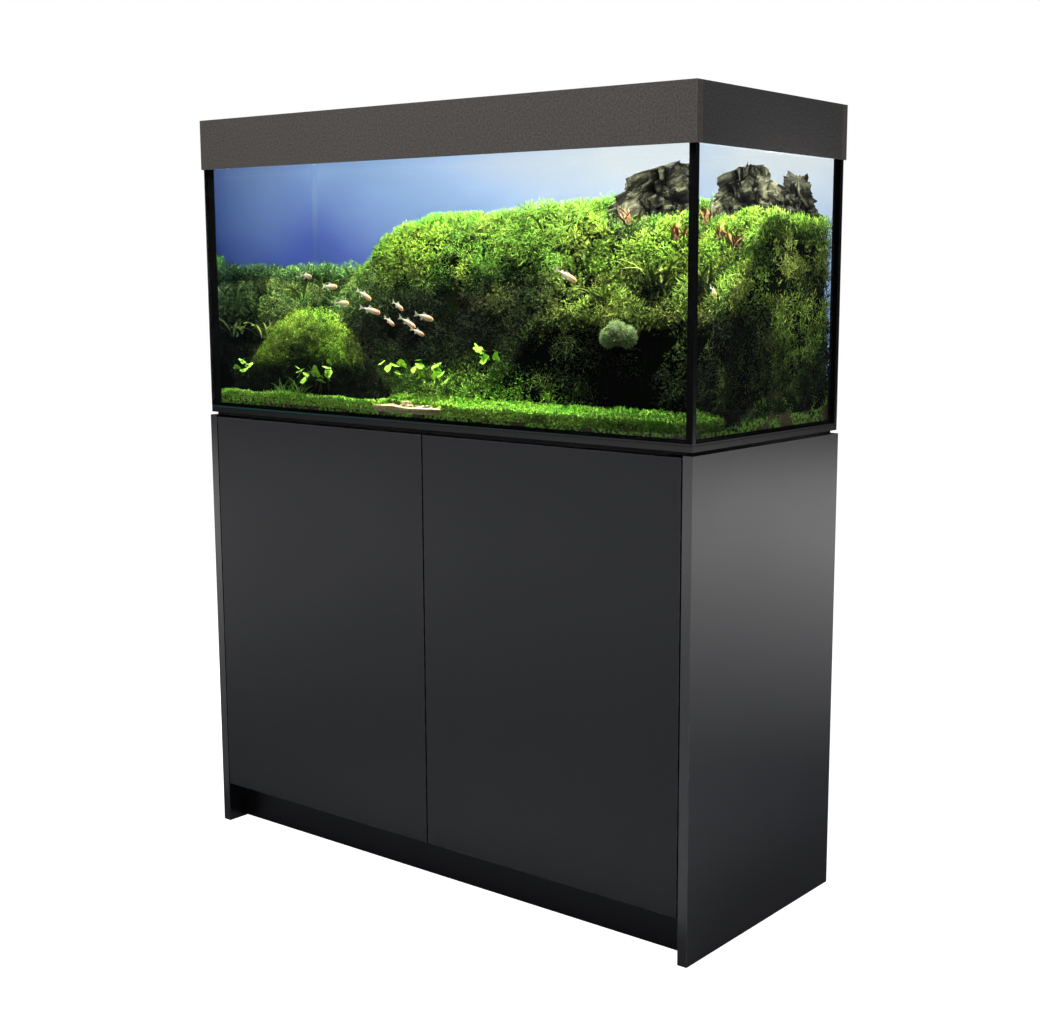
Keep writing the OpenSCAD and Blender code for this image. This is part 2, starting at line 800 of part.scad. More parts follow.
// A craggy rock: rings of uneven points that lean, step and narrow towards a broken peak.
function crag(seed, i, j) = sin(seed * 37 + i * 97 + j * 61) * 0.6 + sin(seed * 71 + i * 151 - j * 43) * 0.4;
module rock(base_x, base_y, half_x, half_y, height, lean, seed, sides = 16, rings = 10) {
    shrink = function (t) lerp(1, 0.34, pow(t, 3));
    points = [for (j = [0:rings], i = [0:sides - 1])
        let (t = j / rings, a = 360 * i / sides, rough = 1 - 0.16 + 0.16 * crag(seed, i, j), s = shrink(t) * rough)
        [base_x + lean.x * t + half_x * s * cos(a), base_y + lean.y * t + half_y * s * sin(a),
         terrace + height * t * (j == rings ? 1 - 0.08 * abs(crag(seed, i, 3)) : 1)]];
    walls = [for (j = [0:rings - 1], i = [0:sides - 1], half = [0, 1])
        let (a = j * sides + i, b = j * sides + (i + 1) % sides, c = a + sides, d = b + sides)
        half == 0 ? [a, c, b] : [b, c, d]];
    top = [for (i = [1:sides - 2]) [rings * sides, rings * sides + i + 1, rings * sides + i]];
    bottom = [for (i = [1:sides - 2]) [0, i, i + 1]];
    polyhedron(points = points, faces = concat(walls, top, bottom));
}

// Each rock stands between two grid positions along the tank, and between two depths.
module rock_between(from, to, y0, y1, height, lean, seed) {
    rock((line_x(from) + line_x(to)) / 2, (y0 + y1) / 2, (line_x(to) - line_x(from)) / 2, (y1 - y0) / 2, height, lean, seed);
}

module rock_peaks() {
    y0 = rock_front + 1;
    nook = line_y(nook_line) - 4;
    color("gray") {
        rock_between(terrace_line + 0.05, wall_line - 0.1, y0, rock_back, rock_height, [18, 4], 8);
        rock_between(wall_line + 0.1, grid_x - 1.05, y0 + 28, nook, rock_height * 0.95, [6, 2], 5);
    }
}

// Places of the stones from the end of the moss mound and from the front glass, with their radii.
stone_spots = [[61, 34, 17], [103, 42, 12], [23, 46, 11], [137, 26, 9]];
function stone_place(spot) = [mound_right + spot.x, spot.y - in_y];
module foreground_stones() {
    color("darkkhaki") for (k = [0:len(stone_spots) - 1]) let (spot = stone_spots[k], place = stone_place(spot))
        translate([place.x, place.y, soil(place.x, -in_y) + seat_gap]) scale_stone(spot.z, k);
}

// A low faceted pebble with a flat foot.
module scale_stone(r, seed) {
    sides = 9;
    rings = [[0.80, 0], [1.0, 0.35], [0.86, 0.75], [0.45, 1.0]];
    points = [for (j = [0:3], i = [0:sides - 1])
        let (a = 360 * i / sides + seed * 11, s = r * rings[j][0] * (1 + 0.12 * crag(seed, i, j)))
        [s * cos(a), s * sin(a) * 0.8, r * rings[j][1]]];
    walls = [for (j = [0:2], i = [0:sides - 1], half = [0, 1])
        let (a = j * sides + i, b = j * sides + (i + 1) % sides, c = a + sides, d = b + sides)
        half == 0 ? [a, c, b] : [b, c, d]];
    top = [for (i = [1:sides - 2]) [3 * sides, 3 * sides + i + 1, 3 * sides + i]];
    bottom = [for (i = [1:sides - 2]) [0, i, i + 1]];
    polyhedron(points = points, faces = concat(walls, top, bottom));
}

// ---------- filter and heater ----------

module filter_case() {
    x0 = filter_x - filter_width / 2;
    x1 = filter_x + filter_width / 2;
    slots = 9;
    color([0.12, 0.12, 0.13]) difference() {
        rounded_post(x0, x1, filter_front, filter_back, gear_z, case_top, 8);
        rounded_post(x0 + filter_wall, x1 - filter_wall, filter_front + filter_wall, filter_back - filter_wall,
                     gear_z + filter_wall, case_top + cut, 6);
        for (k = [0:slots - 1]) {
            x = x0 + 12 + k * (filter_width - 24) / (slots - 1);
            span([x - 1.2, filter_front - cut, gear_z + 14], [x + 1.2, filter_front + filter_wall + cut, case_top - 20]);
        }
    }
}

// Foam block that stands inside the case.
module filter_sponge() {
    gap = filter_wall + seat_gap;
    color("royalblue")
        rounded_post(filter_x - filter_width / 2 + gap, filter_x + filter_width / 2 - gap,
                     filter_front + gap, filter_back - gap, gear_z + gap, case_top - 6, 5);
}

module pump_head() {
    x0 = filter_x - filter_width / 2;
    x1 = filter_x + filter_width / 2;
    color([0.2, 0.2, 0.22]) difference() {
        union() {
            rounded_post(x0, x1, filter_front, filter_back, case_top, head_top, 8);
            translate([filter_x, filter_y, head_top - cut]) cylinder(r = nozzle_r - nozzle_wall - running, h = 8 + cut);
        }
        translate([filter_x, filter_y, case_top + 4]) cylinder(r = chamber_r, h = head_height - 12);
        translate([filter_x, filter_y, head_top - 10]) cylinder(r = 4, h = 20);
        for (a = [0:60:300])
            translate([filter_x, filter_y, case_top - cut]) rotate(a) translate([9, 0, 0]) cylinder(r = 2.5, h = 6);
    }
    color([0.2, 0.2, 0.22]) translate([filter_x, filter_y, case_top + 3]) cylinder(r = shaft_r, h = head_height - 22);
}

// Magnet rotor with four blades on a bored hub.
module impeller() {
    z0 = case_top + 6;
    rotor = head_height - 28;
    color("white") translate([filter_x, filter_y, z0]) difference() {
        union() {
            cylinder(r = rotor_r, h = rotor);
            translate([0, 0, rotor - cut]) cylinder(r = 3.5, h = 9 + cut);
            for (a = [0:90:270]) rotate(a) span([0, -0.8, rotor - cut], [chamber_r - 2, 0.8, rotor + 8]);
        }
        translate([0, 0, -cut]) cylinder(r = shaft_r + running, h = rotor + cut + 4);
    }
}

// Elbow that turns on the stub of the pump head.
module outlet_nozzle() {
    color([0.12, 0.12, 0.13]) translate([filter_x, filter_y, head_top + seat_gap]) difference() {
        union() {
            cylinder(r = nozzle_r, h = 18);
            translate([0, 0, 11]) rotate([0, 90, 225]) cylinder(r = 6.5, h = 26);
        }
        translate([0, 0, -cut]) cylinder(r = nozzle_r - nozzle_wall, h = 15 + cut);
        translate([0, 0, 11]) rotate([0, 90, 225]) cylinder(r = 4.5, h = 26 + cut);
    }
}

// A suction cup whose mouth lies flat on the back pane.
module suction_cup(x, z, y0) {
    translate([x, in_y, z]) rotate([90, 0, 0]) {
        cylinder(r1 = 13, r2 = 5, h = 5);
        cylinder(r = 4, h = in_y - y0);
    }
}

module heater_clip(z) {
    difference() {
        union() {
            translate([heater_x, heater_y, z - 5]) cylinder(r = heater_diameter / 2 + 2, h = 10);
            suction_cup(heater_x, z, heater_y);
        }
        translate([heater_x, heater_y, z - 20]) cylinder(r = heater_diameter / 2 + running, h = 40);
    }
}

module suction_cups() {
    color("dimgray") {
        for (x = [filter_x - 22, filter_x + 22], z = [gear_z + 30, case_top - 22]) suction_cup(x, z, filter_back);
        for (z = [gear_z + 35, heater_top - 35]) heater_clip(z);
    }
}

module heater() {
    r = heater_diameter / 2;
    color("lightgray") {
        translate([heater_x, heater_y, gear_z + r]) cylinder(r = r, h = heater_length - r);
        translate([heater_x, heater_y, gear_z + r]) sphere(r = r);
        translate([heater_x, heater_y, heater_top - cut]) cylinder(r = r + 1.5, h = heater_cap + cut);
        translate([heater_x, heater_y, heater_top]) cylinder(r = spindle_r, h = heater_cap + 6);
    }
}

module heater_dial() {
    color("orangered") translate([heater_x, heater_y, heater_top + heater_cap + seat_gap]) difference() {
        union() {
            cylinder(r = dial_r, h = dial_height);
            span([-dial_r + 1, -1, dial_height - 0.5], [dial_r - 1, 1, dial_height + 2]);
        }
        translate([0, 0, -cut]) cylinder(r = spindle_r + running, h = cut + 6);
    }
}

// ---------- hood ----------

hood_color = [0.32, 0.31, 0.29];

module long_hood_board(side) {
    y0 = -hood_d / 2;
    color(hood_color) mirror([0, side > 0 ? 1 : 0, 0]) difference() {
        span([-hood_w / 2, y0, hood_bottom], [hood_w / 2, y0 + hood_board, hood_top]);
        span([-hood_w / 2 + hood_lip, y0 + hood_lip, hood_bottom - cut], [hood_w / 2 - hood_lip, y0 + hood_board + cut, rim]);
        if (side > 0) for (s = [-1, 1])
            span([s * 340 - 50, y0 - cut, rim + 12], [s * 340 + 50, y0 + hood_board + cut, rim + 37]);
    }
}

module hood_front() {
    long_hood_board(-1);
}

module hood_back() {
    long_hood_board(1);
}

module hood_sides() {
    color(hood_color) both_sides() difference() {
        span([hood_in_x, -hood_in_y, hood_bottom], [hood_w / 2, hood_in_y, hood_top]);
        span([hood_in_x - cut, -hood_in_y - cut, hood_bottom - cut], [hood_w / 2 - hood_lip, hood_in_y + cut, rim]);
    }
}

module hood_battens() {
    z0 = flap_under - batten;
    block = 22;
    color("burlywood") {
        span([-hood_in_x, -hood_in_y, z0], [hood_in_x, -hood_in_y + batten, flap_under]);
        both_sides() span([hood_in_x - batten, -hood_in_y + batten, z0], [hood_in_x, hood_in_y, flap_under]);
        span([-batten, -hood_in_y + batten, z0], [batten, hood_in_y, flap_under]);
        for (sx = [0, 1], sy = [0, 1]) mirror([sx, 0, 0]) mirror([0, sy, 0])
            translate([-hood_in_x, -hood_in_y, rim + 3])
                linear_extrude(z0 - rim - 3) polygon([[0, 0], [block, 0], [0, block]]);
    }
}

module hood_deck() {
    slot = 60;
    color(hood_color) difference() {
        span([-hood_in_x, deck_front, flap_under], [hood_in_x, hood_in_y, hood_top]);
        for (side = [-1, 1], k = [0:3])
            translate([side * 245, hood_in_y - 28 - k * 12, 0])
                span([-slot / 2, -2.2, flap_under - cut], [slot / 2, 2.2, hood_top + cut]);
    }
}

module flap(side) {
    x1 = hood_in_x - flap_gap;
    color(hood_color) handed(side) difference() {
        span([flap_gap / 2, -hood_in_y + flap_gap, flap_under], [x1, deck_front - flap_gap, hood_top]);
        translate([(x1 + flap_gap) / 2, -hood_in_y + flap_gap + 34, flap_under - cut]) cylinder(d = finger_hole, h = flap_board + 2 * cut);
    }
}

// One leaf of a butt hinge with its share of the knuckles; it lies on the board towards +Y.
module hinge_leaf(mine) {
    segment = leaf_width / knuckles;
    difference() {
        union() {
            span([-leaf_width / 2, knuckle_r + 0.4, -hinge_z + hood_top], [leaf_width / 2, leaf_depth, -hinge_z + hood_top + leaf]);
            for (k = [0:knuckles - 1]) if (k % 2 == mine) translate([-leaf_width / 2 + k * segment + 0.1, 0, 0]) {
                rod_x(knuckle_r, 0, segment - 0.2, 0, 0);
                span([0, 0, -hinge_z + hood_top], [segment - 0.2, knuckle_r + 0.6, -hinge_z + hood_top + leaf]);
            }
        }
        rod_x(flap_pin_r + running, -leaf_width, leaf_width, 0, 0);
    }
}

module flap_hinges_fixed() {
    color("silver") both_sides() for (x = flap_hinge_xs) translate([x, hinge_y, hinge_z]) {
        hinge_leaf(0);
        rod_x(flap_pin_r, -leaf_width / 2, leaf_width / 2, 0, 0);
    }
}

module flap_hinge(side) {
    color("silver") handed(side) for (x = flap_hinge_xs) translate([x, hinge_y, hinge_z]) mirror([0, 1, 0]) hinge_leaf(1);
}

// ---------- light ----------

// Finned extrusion seen from its end: a channel that is open below, with steps that carry the lens.
module light_profile() {
    half = light_width / 2;
    inner = half - light_wall;
    body_top = light_height - fin;
    difference() {
        union() {
            translate([-half, 0]) square([light_width, body_top]);
            for (k = [-4:4]) translate([k * (light_width - 6) / 8 - 1, body_top - 0.5]) square([2, fin + 0.5]);
        }
        translate([-inner + lens_step, -cut]) square([2 * (inner - lens_step), body_top - light_wall + cut]);
        translate([-inner, lens_step]) square([2 * inner, lens + 2 * play]);
    }
}

module light_housing() {
    x = light_length / 2;
    cap = 3;
    half = light_width / 2;
    color("silver") {
        translate([-x, light_y, light_bottom]) rotate([90, 0, 90]) linear_extrude(light_length) light_profile();
        both_sides() {
            difference() {
                span([x, light_y - half, light_bottom], [x + cap, light_y + half, light_top]);
                rod_x(3, x - cut, x + cap + cut, light_y + 20, light_bottom + 8);
            }
            span([bracket_x - 10, light_y - half + 6, light_top], [bracket_x + 10, light_y + half - 6, light_top + bracket]);
            span([bracket_x - 10, light_y - 12, light_top + bracket], [bracket_x + 10, light_y + 12, flap_under]);
        }
    }
}

module led_board_strip() {
    x = light_length / 2 - 4;
    top = light_bottom + light_height - fin - light_wall;
    half = light_width / 2 - light_wall - lens_step - 2;
    color("ghostwhite") {
        span([-x, light_y - half, top - led_board], [x, light_y + half, top]);
        for (k = [0:led_count - 1], row = [-1, 1])
            translate([-x + (k + 0.5) * 2 * x / led_count, light_y + row * half / 2, top - led_board - 1.2])
                translate([-2.5, -2.5, 0]) cube([5, 5, 1.2]);
    }
}

module light_lens() {
    inner = light_width / 2 - light_wall;
    color("white", 0.6)
        span([-light_length / 2 + play, light_y - inner + play, light_bottom + lens_step + play],
             [light_length / 2 - play, light_y + inner - play, light_bottom + lens_step + play + lens]);
}

side_panel(-1);  // side_panel_left
side_panel(1);  // side_panel_right
top_panel();
bottom_panel();
center_partition();
plinth_front();
plinth_rear();
rear_stretchers();
back_sheet_panel();  // back_sheet
shelf_panel();  // shelf
shelf_pins();
cam_fittings();
hinge_arms();
hinge_plates();
latch_bodies();
door_panel(-1);  // door_left
hinge_cups(-1);  // hinge_cups_left
strike_plate(-1);  // strike_plate_left
latch_plunger(-1);  // latch_plunger_left
door_panel(1);  // door_right
hinge_cups(1);  // hinge_cups_right
strike_plate(1);  // strike_plate_right
latch_plunger(1);  // latch_plunger_right
base_mat();
glass_bottom();
long_pane(-1);  // glass_front
long_pane(1);  // glass_back
short_pane(-1);  // glass_left
short_pane(1);  // glass_right
silicone_seams();
glass_braces();
background_film();
substrate();
rock_peaks();
foreground_stones();
carpet_planting();
moss_mound();
slope_planting();
ridge_planting();
filter_case();
filter_sponge();
pump_head();
impeller();
outlet_nozzle();
suction_cups();
heater();
heater_dial();
hood_front();
hood_back();
hood_sides();
hood_battens();
hood_deck();
flap(-1);  // flap_left
flap(1);  // flap_right
flap_hinges_fixed();
flap_hinge(-1);  // flap_hinge_left
flap_hinge(1);  // flap_hinge_right
light_housing();
led_board_strip();  // led_board
light_lens();
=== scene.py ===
# Looks for a planted aquarium with a lift-off hood, on a two-door cabinet.
import math

import bpy
import numpy as np
from mathutils import Matrix, Vector


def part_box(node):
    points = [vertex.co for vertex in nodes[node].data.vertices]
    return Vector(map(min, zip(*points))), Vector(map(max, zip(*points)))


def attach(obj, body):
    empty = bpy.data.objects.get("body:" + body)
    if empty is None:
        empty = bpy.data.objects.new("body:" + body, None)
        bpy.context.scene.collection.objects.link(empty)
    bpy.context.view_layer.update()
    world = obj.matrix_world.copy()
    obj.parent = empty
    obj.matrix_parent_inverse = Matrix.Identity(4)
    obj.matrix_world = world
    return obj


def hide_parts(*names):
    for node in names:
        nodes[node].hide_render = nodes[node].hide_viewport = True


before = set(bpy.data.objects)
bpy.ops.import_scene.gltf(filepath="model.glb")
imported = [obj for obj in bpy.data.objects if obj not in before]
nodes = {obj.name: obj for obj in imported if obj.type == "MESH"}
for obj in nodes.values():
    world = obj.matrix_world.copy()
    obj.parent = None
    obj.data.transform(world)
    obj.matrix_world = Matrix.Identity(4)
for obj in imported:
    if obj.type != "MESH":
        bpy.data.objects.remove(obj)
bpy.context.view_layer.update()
root = "stand_and_tank"
print("frame loaded:", len(nodes), "nodes")

# ---- camera, stage and light ----

cameraView = {
    "place": (1.6676, -1.9422, 0.9763), "yaw": 37.227, "pitch": -8.786, "roll": 0.188, "lens": 54.05,
    "shiftX": -0.0769,
}


def makeCamera(view):
    data = bpy.data.cameras.new("viewCamera")
    data.sensor_width = 36
    data.lens = view["lens"]
    data.shift_x = view["shiftX"]
    camera = bpy.data.objects.new("viewCamera", data)
    turn, tilt, roll = (Matrix.Rotation(math.radians(angle), 4, axis) for angle, axis in
                        ((view["yaw"], "Z"), (90 + view["pitch"], "X"), (view["roll"], "Z")))
    camera.matrix_world = Matrix.Translation(view["place"]) @ turn @ tilt @ roll
    bpy.context.collection.objects.link(camera)
    bpy.context.scene.camera = camera


makeCamera(cameraView)
bpy.context.scene.view_settings.view_transform = "Standard"


def feed(tree, socket, value):
    # An output socket is linked; three numbers make a colour where the socket wants one.
    if isinstance(value, bpy.types.NodeSocket):
        tree.links.new(value, socket)
    else:
        socket.default_value = (*value, 1.0) if socket.type == "RGBA" else value


def addNode(tree, kind, *inputs, **settings):
    # Inputs fill the sockets in order. A settings name that is a socket fills it; any other sets the node.
    node = tree.nodes.new("ShaderNode" + kind)
    for name, value in settings.items():
        if hasattr(node, name):
            setattr(node, name, value)
        else:
            feed(tree, node.inputs[name], value)
    for socket, value in zip(node.inputs, inputs):
        feed(tree, socket, value)
    return node


def signal(tree, kind, *inputs, **settings):
    return addNode(tree, kind, *inputs, **settings).outputs[0]


def maths(tree, operation, *values):
    return signal(tree, "Math", *values, operation=operation)


def ranged(tree, value, *ends, **settings):
    # The ends are from low, from high, to low and to high; the last two are 0 and 1 when left out.
    return signal(tree, "MapRange", value, *ends, **settings)


# Noise hardly ever leaves these ends.
noiseEnds = (0.3, 0.7)


def mixColors(tree, share, first, second):
    mix = addNode(tree, "Mix", share, data_type="RGBA")
    for socket, color in zip([socket for socket in mix.inputs if socket.type == "RGBA"], (first, second)):
        feed(tree, socket, color)
    return [socket for socket in mix.outputs if socket.type == "RGBA"][0]


def objectPlace(tree):
    return addNode(tree, "TexCoord").outputs["Object"]


def objectAxes(tree):
    return addNode(tree, "SeparateXYZ", objectPlace(tree)).outputs


def bumped(tree, height, strength, distance):
    return signal(tree, "Bump", Height=height, Strength=strength, Distance=distance)


stageLook = {
    "floorHalf": 7.6, "floorColor": (0.8, 0.8, 0.8), "bounceColor": (0.3, 0.3, 0.32), "floorGlow": 0.95,
    "mirroredRise": (1.1, 3.9), "mirroredFade": (5.6, 7.6), "mirroredGlow": 1.25,
    "skyForLight": (0.85, 0.9, 1.0), "skyStrength": 0.16, "skyMirrored": 0.045,
}


def makeStage(look):
    half = look["floorHalf"]
    corners = [(-half, -half, 0), (half, -half, 0), (half, half, 0), (-half, half, 0)]
    mesh = bpy.data.meshes.new("studioFloor")
    mesh.from_pydata(corners, [], [(0, 1, 2, 3)])
    floor = bpy.data.objects.new("studioFloor", mesh)
    bpy.context.collection.objects.link(floor)
    material = bpy.data.materials.new("studioFloor")
    material.use_nodes = True
    mesh.materials.append(material)
    tree = material.node_tree
    tree.nodes.clear()
    path = addNode(tree, "LightPath").outputs
    # Seen directly the floor is white; mirrored it is white only in a ring round the cabinet, and dark inside the
    # ring: a painted shadow that only reflections show.
    seen = maths(tree, "MAXIMUM", path["Is Camera Ray"], path["Is Transmission Ray"])
    away = addNode(tree, "VectorMath", objectPlace(tree), operation="LENGTH").outputs["Value"]
    band = maths(tree, "MULTIPLY", ranged(tree, away, *look["mirroredRise"]),
                 ranged(tree, away, *look["mirroredFade"], 1.0, 0.0))
    mirrored = maths(tree, "MULTIPLY", path["Is Glossy Ray"], band)
    strength = maths(tree, "MAXIMUM", maths(tree, "MULTIPLY", seen, look["floorGlow"]),
                     maths(tree, "MULTIPLY", mirrored, look["mirroredGlow"]))
    plain = signal(tree, "MixShader", seen, signal(tree, "BsdfDiffuse", look["bounceColor"]),
                   signal(tree, "BsdfDiffuse", look["floorColor"]))
    glow = signal(tree, "Emission", (1, 1, 1), strength)
    addNode(tree, "OutputMaterial", signal(tree, "AddShader", plain, glow))
    world = bpy.data.worlds.new("studio")
    world.use_nodes = True
    bpy.context.scene.world = world
    tree = world.node_tree
    tree.nodes.clear()
    path = addNode(tree, "LightPath").outputs
    level = ranged(tree, path["Is Glossy Ray"], 0.0, 1.0, look["skyStrength"], look["skyMirrored"])
    sky = signal(tree, "Background", look["skyForLight"], level)
    white = signal(tree, "Background", (1, 1, 1), 1.0)
    addNode(tree, "OutputWorld", signal(tree, "MixShader", path["Is Camera Ray"], sky, white))


makeStage(stageLook)

# Each lamp has its place, the point it looks at, its size, its power and its spread in degrees.
lensLow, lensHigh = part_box("light_lens")
lensX, lensY = (lensLow.x + lensHigh.x) / 2, (lensLow.y + lensHigh.y) / 2
lampLook = {
    "overFront": ((0.1, -1.5, 2.8), (0.0, -0.2, 0.9), (1.8, 0.9), 33, 180),
    "frontLeft": ((-2.0, -3.0, 1.9), (0.0, -0.2, 0.85), (1.2, 0.8), 1.2, 45),
    "backRight": ((2.4, 0.9, 2.2), (0.5, 0.0, 0.6), (1.0, 0.8), 16, 180),
    "underHood": ((lensX, lensY, lensLow.z - 0.004), (lensX, lensY - 0.25, 0.0),
                  (lensHigh.x - lensLow.x, lensHigh.y - lensLow.y), 45, 180),
    "hoodFront": ((0.0, -0.135, lensLow.z - 0.006), (0.0, 0.03, 0.8), (0.94, 0.05), 40, 180),
    "hoodRight": ((0.462, 0.02, lensLow.z - 0.006), (0.462, 0.04, 0.8), (0.03, 0.28), 7, 180),
    "rightSide": ((1.75, -0.3, 1.35), (0.492, 0.05, 0.93), (0.2, 0.2), 0.35, 18),
}


def makeLamps(look):
    for name, (place, aim, size, power, spread) in look.items():
        data = bpy.data.lights.new(name, "AREA")
        data.shape = "RECTANGLE"
        data.size, data.size_y = size
        data.energy = power
        data.spread = math.radians(spread)
        item = bpy.data.objects.new(name, data)
        item.location = place
        item.rotation_euler = (Vector(aim) - Vector(place)).to_track_quat("-Z", "Y").to_euler()
        item.visible_camera = False
        bpy.context.collection.objects.link(item)


makeLamps(lampLook)
print("camera, stage and lamps set")

# ---- shared effects, each built once as a node group ----


def newGroup(name, inputs, outputs):
    tree = bpy.data.node_groups.new(name, "ShaderNodeTree")
    for kind, label, value in inputs:
        socket = tree.interface.new_socket(label, in_out="INPUT", socket_type="NodeSocket" + kind)
        socket.default_value = value
    for kind, label in outputs:
        tree.interface.new_socket(label, in_out="OUTPUT", socket_type="NodeSocket" + kind)
    return tree, tree.nodes.new("NodeGroupInput").outputs, tree.nodes.new("NodeGroupOutput").inputs


def makeGrain():
    # Fine speckle over a slow cloud: colour, roughness and height all follow the same two noises.
    tree, start, end = newGroup("grain", [
        ("Color", "Color", (0.5, 0.5, 0.5, 1)), ("Float", "Speckle", 0.2), ("Float", "Cloud", 0.1),
        ("Float", "Scale", 900.0), ("Float", "CloudScale", 6.0), ("Float", "Roughness", 0.5),
        ("Float", "RoughVary", 0.1)], [("Color", "Color"), ("Float", "Roughness"), ("Float", "Height")])
    place = objectPlace(tree)
    fine = signal(tree, "TexNoise", Vector=place, Scale=start["Scale"], Detail=2.0)
    slow = signal(tree, "TexNoise", Vector=place, Scale=start["CloudScale"], Detail=4.0)
    fineOff, slowOff = maths(tree, "SUBTRACT", fine, 0.5), maths(tree, "SUBTRACT", slow, 0.5)
    total = maths(tree, "ADD", maths(tree, "MULTIPLY", fineOff, start["Speckle"]),
                  maths(tree, "MULTIPLY", slowOff, start["Cloud"]))
    gain = maths(tree, "ADD", total, 1.0)
    feed(tree, end["Color"], signal(tree, "VectorMath", start["Color"], operation="SCALE", Scale=gain))
    feed(tree, end["Roughness"], maths(tree, "MULTIPLY_ADD", slowOff, start["RoughVary"], start["Roughness"]))
    feed(tree, end["Height"], fine)
    return tree


def makeEdgeWearAndSheen():
    # On a box-shaped board a point near an edge is near two faces at once, so the second nearest face tells.
    # The mask lightens the edges: a painted edge highlight together with wear.
    tree, start, end = newGroup("edgeWearAndSheen", [
        ("Vector", "Low", (0, 0, 0)), ("Vector", "High", (1, 1, 1)), ("Float", "Width", 0.002),
        ("Float", "Amount", 0.6)], [("Float", "Mask")])
    place = objectPlace(tree)
    fromLow = signal(tree, "VectorMath", place, start["Low"], operation="SUBTRACT")
    fromHigh = signal(tree, "VectorMath", start["High"], place, operation="SUBTRACT")
    nearest = signal(tree, "VectorMath", fromLow, fromHigh, operation="MINIMUM")
    x, y, z = addNode(tree, "SeparateXYZ", nearest).outputs
    inner = maths(tree, "MINIMUM", maths(tree, "MAXIMUM", x, y), z)
    second = maths(tree, "MAXIMUM", maths(tree, "MINIMUM", x, y), inner)
    fade = maths(tree, "DIVIDE", second, start["Width"])
    turned = signal(tree, "Math", 1.0, fade, operation="SUBTRACT", use_clamp=True)
    patchScale, patchEnds = 45.0, (0.42, 0.62)
    broken = ranged(tree, signal(tree, "TexNoise", Vector=place, Scale=patchScale, Detail=4.0), *patchEnds)
    feed(tree, end["Mask"], maths(tree, "MULTIPLY", maths(tree, "MULTIPLY", turned, broken), start["Amount"]))
    return tree


grainGroup = makeGrain()
edgeGroup = makeEdgeWearAndSheen()


def placeGroup(tree, group, **values):
    node = tree.nodes.new("ShaderNodeGroup")
    node.node_tree = group
    for name, value in values.items():
        feed(tree, node.inputs[name], value)
    return node.outputs


def grainOf(tree, look):
    names = ("color", "speckle", "cloud", "scale", "cloudScale", "roughness", "roughVary")
    return placeGroup(tree, grainGroup, **{name[0].upper() + name[1:]: look[name] for name in names})


def setShader(tree, shader, **values):
    for name, value in values.items():
        feed(tree, shader.inputs[name.replace("_", " ")], value)


def newMaterial(name, **values):
    material = bpy.data.materials.new(name)
    material.use_nodes = True
    tree = material.node_tree
    setShader(tree, tree.nodes["Principled BSDF"], **values)
    return material, tree, tree.nodes["Principled BSDF"]


def grainMaterial(name, look):
    # A plain finish: one colour with grain, and a bump from the same grain.
    material, tree, shader = newMaterial(name, Metallic=look.get("metallic", 0.0),
                                         Specular_IOR_Level=look.get("specular", 0.5))
    grain = grainOf(tree, look)
    color = grain["Color"]
    # Lighter along the edges: a painted edge highlight, broken up in patches like wear.
    if "wearAndSheenColor" in look:
        low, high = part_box(look["wearOn"])
        wear = placeGroup(tree, edgeGroup, Low=low, High=high, Width=look["wearWidth"],
                          Amount=look["wearAmount"])
        color = mixColors(tree, wear["Mask"], color, look["wearAndSheenColor"])
    setShader(tree, shader, Base_Color=color, Roughness=grain["Roughness"],
              Normal=bumped(tree, grain["Height"], look["bump"], look["bumpDepth"]))
    if "emission" in look:
        setShader(tree, shader, Emission_Color=look["color"], Emission_Strength=look["emission"])
    return material


def dress(material, *names):
    for name in names:
        slots = nodes[name].data.materials
        for index in range(len(slots)):
            slots[index] = material


cabinetLook = {
    "color": (0.0085, 0.0087, 0.0105), "speckle": 0.6, "cloud": 0.35, "scale": 1400.0, "cloudScale": 5.0,
    "roughness": 0.32, "roughVary": 0.12, "bump": 0.08, "bumpDepth": 0.0004, "specular": 0.42,
    "wearAndSheenColor": (0.09, 0.09, 0.1), "wearWidth": 0.0016, "wearAmount": 0.5,
}
hoodLook = {
    "color": (0.1, 0.089, 0.08), "speckle": 1.8, "cloud": 0.15, "scale": 340.0, "cloudScale": 9.0,
    "roughness": 0.62, "roughVary": 0.06, "bump": 0.35, "bumpDepth": 0.0006, "specular": 0.35,
    "wearAndSheenColor": (0.2, 0.18, 0.16), "wearWidth": 0.0012, "wearAmount": 0.6,
}
cabinetBoards = ["side_panel_left", "side_panel_right", "top_panel", "bottom_panel", "center_partition",
                 "plinth_front", "plinth_rear", "rear_stretchers", "shelf", "door_left", "door_right"]
for board in cabinetBoards:
    gloss = {"specular": 1.0, "roughness": 0.18} if board.startswith("side") else {}
    dress(grainMaterial("cabinetFoil_" + board, {**cabinetLook, **gloss, "wearOn": board}), board)
for board in ["hood_front", "hood_back", "hood_deck", "flap_left", "flap_right"]:
    dress(grainMaterial("hoodFoil_" + board, {**hoodLook, "wearOn": board}), board)
# The hood's sides take a darker colour of their own: painted shade on the same foil.
shadedHoodSides = {**hoodLook, "wearOn": "hood_sides", "color": (0.064, 0.06, 0.057)}
dress(grainMaterial("hoodFoil_sidesShaded", shadedHoodSides), "hood_sides")

